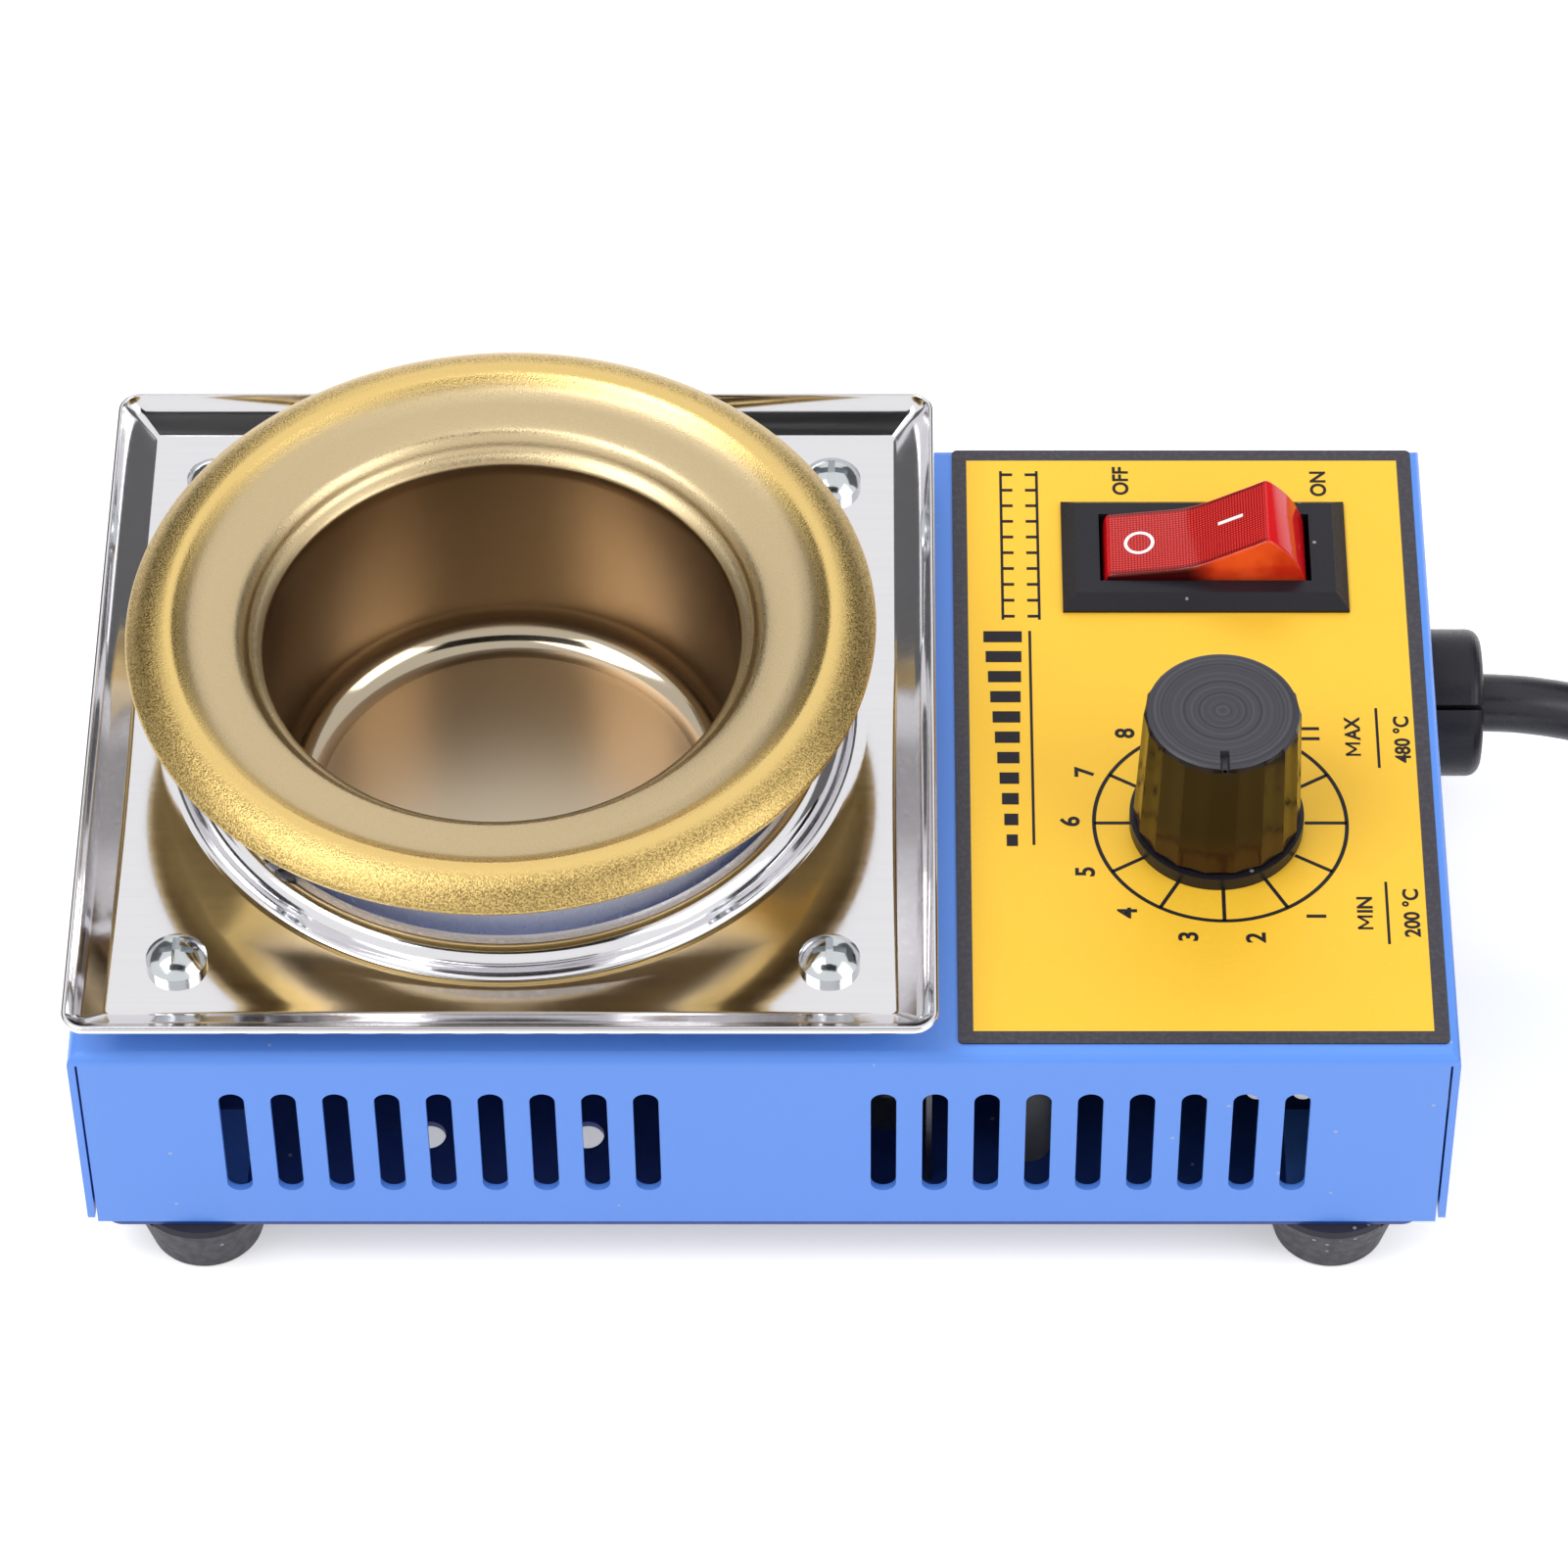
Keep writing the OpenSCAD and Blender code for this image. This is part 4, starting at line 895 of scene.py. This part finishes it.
class POT_OT_rocker(bpy.types.Operator):
    """Makes the rocker with eased edges, and prints its ring and bar"""

    bl_idname = "pot.rocker"
    bl_label = "Rocker"

    def execute(self, context):
        line = rocker_outline()
        loop = np.concatenate([line[-1:], line, line[:1]])
        step = loop[2:] - loop[:-2]
        step /= np.linalg.norm(step, axis=1, keepdims=True)
        inward = np.stack([-step[:, 1], step[:, 0]], axis=-1)
        # across the width the outline is eased in by a quarter circle of 0.35 mm at each side
        a = np.radians(np.linspace(0, 90, 6))
        ease_in = 0.35 * (1 - np.sin(a))
        inset = np.concatenate([ease_in, ease_in[::-1]])
        place = np.concatenate([-(4.3 + 0.35 * np.cos(a)), (4.3 + 0.35 * np.cos(a))[::-1]])
        flat = line[None] + inward[None] * inset[:, None, None]
        points = np.stack([flat[..., 0], np.broadcast_to(place[:, None], flat.shape[:2]),
                           flat[..., 1]], axis=-1)
        caps = [np.broadcast_to(np.array([0, y, 0.0]), (1, len(line), 3)) for y in (place[0], place[-1])]
        tilt = math.radians(-18)
        whole = np.concatenate([caps[0], points, caps[1]]) * MM
        x = whole[..., 0] * math.cos(tilt) + whole[..., 2] * math.sin(tilt)
        z = -whole[..., 0] * math.sin(tilt) + whole[..., 2] * math.cos(tilt)
        points = np.stack([x + SWITCH[0], whole[..., 1] + SWITCH[1], z + 0.036], axis=-1)
        mesh = grid_mesh("rocker_cap", points, round_v=True, sharp=30)
        add_piece("rocker_cap", mesh, finish("red_plastic"), "rocker", ("rocker",))
        lean = Matrix.Translation((SWITCH[0], SWITCH[1], 0.036)) @ Matrix.Rotation(tilt, 4, "Y")
        ring = ring_mesh("rocker_ring", (-0.0057, -0.0001), 0.00128, 0.00165, -0.00002, 0.00003)
        reach = np.linspace(0.0032, 0.0062, 13)[:, None]
        side, lift = np.array([[-1, 1, 1, -1], [-0.02, -0.02, 0.03, 0.03]])[:, None] * MM
        line = np.stack([np.broadcast_to(reach, (13, 4)), np.broadcast_to(0.0006 + side * 0.22, (13, 4)),
                         np.broadcast_to(lift, (13, 4))], axis=-1)
        line = np.concatenate([line[:1].mean(axis=1, keepdims=True).repeat(4, axis=1), line,
                               line[-1:].mean(axis=1, keepdims=True).repeat(4, axis=1)])
        line = grid_mesh("rocker_line", line, round_v=True, sharp=30)
        marks = joined("rocker_marks", [ring, line])
        at = np.empty(len(marks.vertices) * 3, np.float32)
        marks.vertices.foreach_get("co", at)
        at = at.reshape(-1, 3)
        # the marks are laid on the rocker's hollow top
        at[:, 2] += np.interp(at[:, 0], HOLLOW[:, 0] * MM, HOLLOW[:, 1] * MM)
        marks.vertices.foreach_set("co", at.ravel())
        marks.transform(lean)
        add_piece("rocker_marks", marks, finish("white_ink"), "rocker")
        return {"FINISHED"}


class POT_OT_print(bpy.types.Operator):
    """Prints the panel: dial, numbers, ON, OFF, the two temperatures and plain graduations"""

    bl_idname = "pot.print"
    bl_label = "Panel print"

    def execute(self, context):
        sizes = context.scene.pot_sizes
        low, high = PANEL - 0.00002, PANEL + 0.00003
        middle = (0.04845, KNOB[1])
        line = 0.00021
        ring = ring_mesh("dial", middle, sizes.dial_radius - line, sizes.dial_radius + line,
                         low, high, sides=256)
        turns = np.radians(np.arange(0, 360, 30))
        span = (0.0090 + sizes.dial_radius) / 2
        ticks = [[middle[0] + span * math.cos(t), middle[1] + span * math.sin(t),
                  sizes.dial_radius - 0.0090, 0.0004, math.degrees(t)] for t in turns]
        meshes = [ring, bar_mesh("ticks", ticks, low, high)]
        for n in range(1, 12):
            a = math.radians(-53 - 25.55 * (n - 1))
            place = (middle[0] + 0.0161 * math.cos(a), middle[1] + 0.0161 * math.sin(a), PANEL)
            meshes.append(text_mesh("number", str(n), sizes.digit_height, place, 90, weight=0.00007))
        words = [("OFF", 0.0017, (0.0389, 0.0382)), ("ON", 0.0017, (0.0609, 0.0378)),
                 ("AX", 0.0016, (0.0631, 0.0017)), ("480 °C", 0.0016, (0.0684, 0.0002)),
                 ("IN", 0.0016, (0.0633, -0.0229)), ("200 °C", 0.0016, (0.0682, -0.0240))]
        for text, height, (x, y) in words:
            meshes.append(text_mesh("word", text, height, (x, y, PANEL), 90, weight=0.00006))
        bars = [[0.0658, 0.0004, 0.0003, 0.0085, 0], [0.0657, -0.0240, 0.0003, 0.0085, 0]]
        # the letter M of MAX and MIN: two uprights and two slants
        for x, y in ((0.0631, -0.0012), (0.0633, -0.0253)):
            bars += [[x, y + side * 0.0008, 0.0016, 0.00028, 0] for side in (-1, 1)]
            bars += [[x - 0.00022, y + side * 0.0004, 0.0014, 0.00026, -36 * side] for side in (-1, 1)]
        # a graduated bar in place of a title: short strokes that grow along the panel
        bars += [[0.0262 - 0.0002 * k / 3, -0.0140 + 0.0029 * k, 0.0012 + 0.0003 * k, 0.0016, 0]
                 for k in range(11)]
        bars += [[0.0285, 0.0006, 0.0003, 0.0305, 0]]
        bars += [[0.0256, 0.0286, 0.0003, 0.0222, 0], [0.0296, 0.0286, 0.0003, 0.0222, 0]]
        bars += [[0.0263, 0.0180 + 0.00235 * k, 0.0012, 0.0004, 0] for k in range(10)]
        bars += [[0.0289, 0.0180 + 0.00235 * k, 0.0012, 0.0004, 0] for k in range(10)]
        meshes.append(bar_mesh("graduations", bars, low, high))
        add_piece("panel_print", joined("panel_print", meshes), finish("ink"))
        return {"FINISHED"}


class POT_OT_finishes(bpy.types.Operator):
    """Gives every CAD node its finish"""

    bl_idname = "pot.finishes"
    bl_label = "Finishes"

    def execute(self, context):
        for row in frame["record"]["subparts"]:
            node = frame["nodes"][row["node"]]
            slot = row.get("material_slot", row["node"])
            # the screws inside the case and in the base take the dark zinc: painted shade of the hollows
            # they sit in
            if row["node"] in ("bracket_screws", "clamp_screws", "shield_screws", "foot_screws"):
                slot = "dull_zinc"
            for place in node.material_slots:
                place.material = finish(slot)
        return {"FINISHED"}


class POT_OT_stage(bpy.types.Operator):
    """Adds the pale floor, the soft lights and the dark cards that the metal mirrors"""

    bl_idname = "pot.stage"
    bl_label = "Stage"

    def execute(self, context):
        scene = context.scene
        scene.view_settings.view_transform = "Standard"
        floor = bpy.data.meshes.new("floor")
        size = 3.0
        floor.from_pydata([(-size, -size, 0), (size, -size, 0), (size, size, 0), (-size, size, 0)],
                          [], [(0, 1, 2, 3)])
        material = bpy.data.materials.new("floor_white")
        material.use_nodes = True
        s = Shade(material.node_tree)
        shader = next(n for n in s.nodes if n.type == "BSDF_PRINCIPLED")
        shader.inputs["Base Color"].default_value = (0.92, 0.92, 0.93, 1)
        shader.inputs["Roughness"].default_value = 0.7
        shader.inputs["Specular IOR Level"].default_value = 0.1
        glow = s.add("ShaderNodeEmission", Color=(1, 1, 1, 1))
        s.put(glow.inputs["Strength"], s.sum("MULTIPLY", s.looked_at(), 0.42))
        both = s.add("ShaderNodeAddShader")
        s.put(both.inputs[0], shader.outputs[0])
        s.put(both.inputs[1], glow.outputs[0])
        s.put(next(n for n in s.nodes if n.type == "OUTPUT_MATERIAL").inputs["Surface"], both.outputs[0])
        floor.materials.append(material)
        ground = bpy.data.objects.new("floor", floor)
        scene.collection.objects.link(ground)
        world = bpy.data.worlds.new("studio")
        scene.world = world
        world.use_nodes = True
        s = Shade(world.node_tree)
        back = next(n for n in s.nodes if n.type == "BACKGROUND")
        back.inputs["Color"].default_value = (1, 1, 1, 1)
        s.put(back.inputs["Strength"], s.range(s.looked_at(), 0, 1, 0.62, 1.0))
        for name, place, aim, width, height, power in (
                ("key", (-0.5, -0.25, 1.0), (0, 0, 0.03), 0.65, 0.65, 6.0),
                ("fill", (0.75, -0.35, 0.7), (0, 0, 0.03), 0.6, 0.6, 3.0),
                ("rear", (0.1, 0.9, 0.8), (0, 0, 0.03), 0.9, 0.4, 4.0)):
            light = bpy.data.lights.new(name, "AREA")
            light.shape = "RECTANGLE"
            light.size, light.size_y, light.energy = width, height, power
            lamp = bpy.data.objects.new(name, light)
            lamp.location = place
            lamp.rotation_euler = (Vector(aim) - Vector(place)).to_track_quat("-Z", "Y").to_euler()
            lamp.visible_glossy = name != "rear"
            scene.collection.objects.link(lamp)
        cards = (
            ("card_front", (-0.03, -0.33, 0.78), 0.70, 0.26, 0.02),
            ("card_left", (-0.60, 0.50, 0.36), 0.84, 0.58, 0.13),
            ("card_right", (0.60, 0.50, 0.36), 0.84, 0.58, 0.13),
            ("card_low_left", (-0.70, -0.10, 0.12), 0.50, 0.16, 0.05),
            ("card_low_right", (0.70, -0.10, 0.12), 0.50, 0.16, 0.05),
            ("card_low_front", (0.0, -0.75, 0.12), 0.60, 0.12, 0.05),
        )
        for name, place, width, height, grey in cards:
            mesh = bpy.data.meshes.new(name)
            w, h = width / 2, height / 2
            mesh.from_pydata([(-w, -h, 0), (w, -h, 0), (w, h, 0), (-w, h, 0)], [], [(0, 1, 2, 3)])
            turn = (Vector((0, 0, 0.04)) - Vector(place)).to_track_quat("Z", "Y").to_matrix().to_4x4()
            mesh.transform(Matrix.Translation(place) @ turn)
            card = bpy.data.materials.new(name)
            card.use_nodes = True
            shader = next(n for n in card.node_tree.nodes if n.type == "BSDF_PRINCIPLED")
            shader.inputs["Base Color"].default_value = (grey, grey, grey, 1)
            shader.inputs["Roughness"].default_value = 1.0
            shader.inputs["Specular IOR Level"].default_value = 0.0
            mesh.materials.append(card)
            flag = bpy.data.objects.new(name, mesh)
            scene.collection.objects.link(flag)
            flag.visible_camera = flag.visible_diffuse = flag.visible_shadow = False
        return {"FINISHED"}


# ---------------------------------------------------------------- panel and registration

STEPS = (POT_OT_camera, POT_OT_cord, POT_OT_finishes, POT_OT_crucible, POT_OT_tray, POT_OT_knob,
         POT_OT_rocker, POT_OT_print, POT_OT_stage)


class POT_PT_sidebar(bpy.types.Panel):
    """Lists the pot's pieces in the 3D view's sidebar"""

    bl_idname = "POT_PT_sidebar"
    bl_label = "Solder pot"
    bl_space_type = "VIEW_3D"
    bl_region_type = "UI"
    bl_category = "Solder pot"

    def draw(self, context):
        for step in STEPS:
            self.layout.operator(step.bl_idname)
        for group in (context.scene.pot_sizes, context.scene.pot_colours):
            box = self.layout.box()
            for name in group.bl_rna.properties.keys():
                if name not in ("rna_type", "name"):
                    box.prop(group, name)


CLASSES = (PotSizes, PotColours, *STEPS, POT_PT_sidebar)


def register():
    for cls in CLASSES:
        bpy.utils.register_class(cls)
    bpy.types.Scene.pot_sizes = PointerProperty(type=PotSizes)
    bpy.types.Scene.pot_colours = PointerProperty(type=PotColours)


def unregister():
    del bpy.types.Scene.pot_colours
    del bpy.types.Scene.pot_sizes
    for cls in reversed(CLASSES):
        bpy.utils.unregister_class(cls)


def main():
    register()
    for step in STEPS:
        group, name = step.bl_idname.split(".")
        getattr(getattr(bpy.ops, group), name)()


if __name__ == "__main__":
    main()
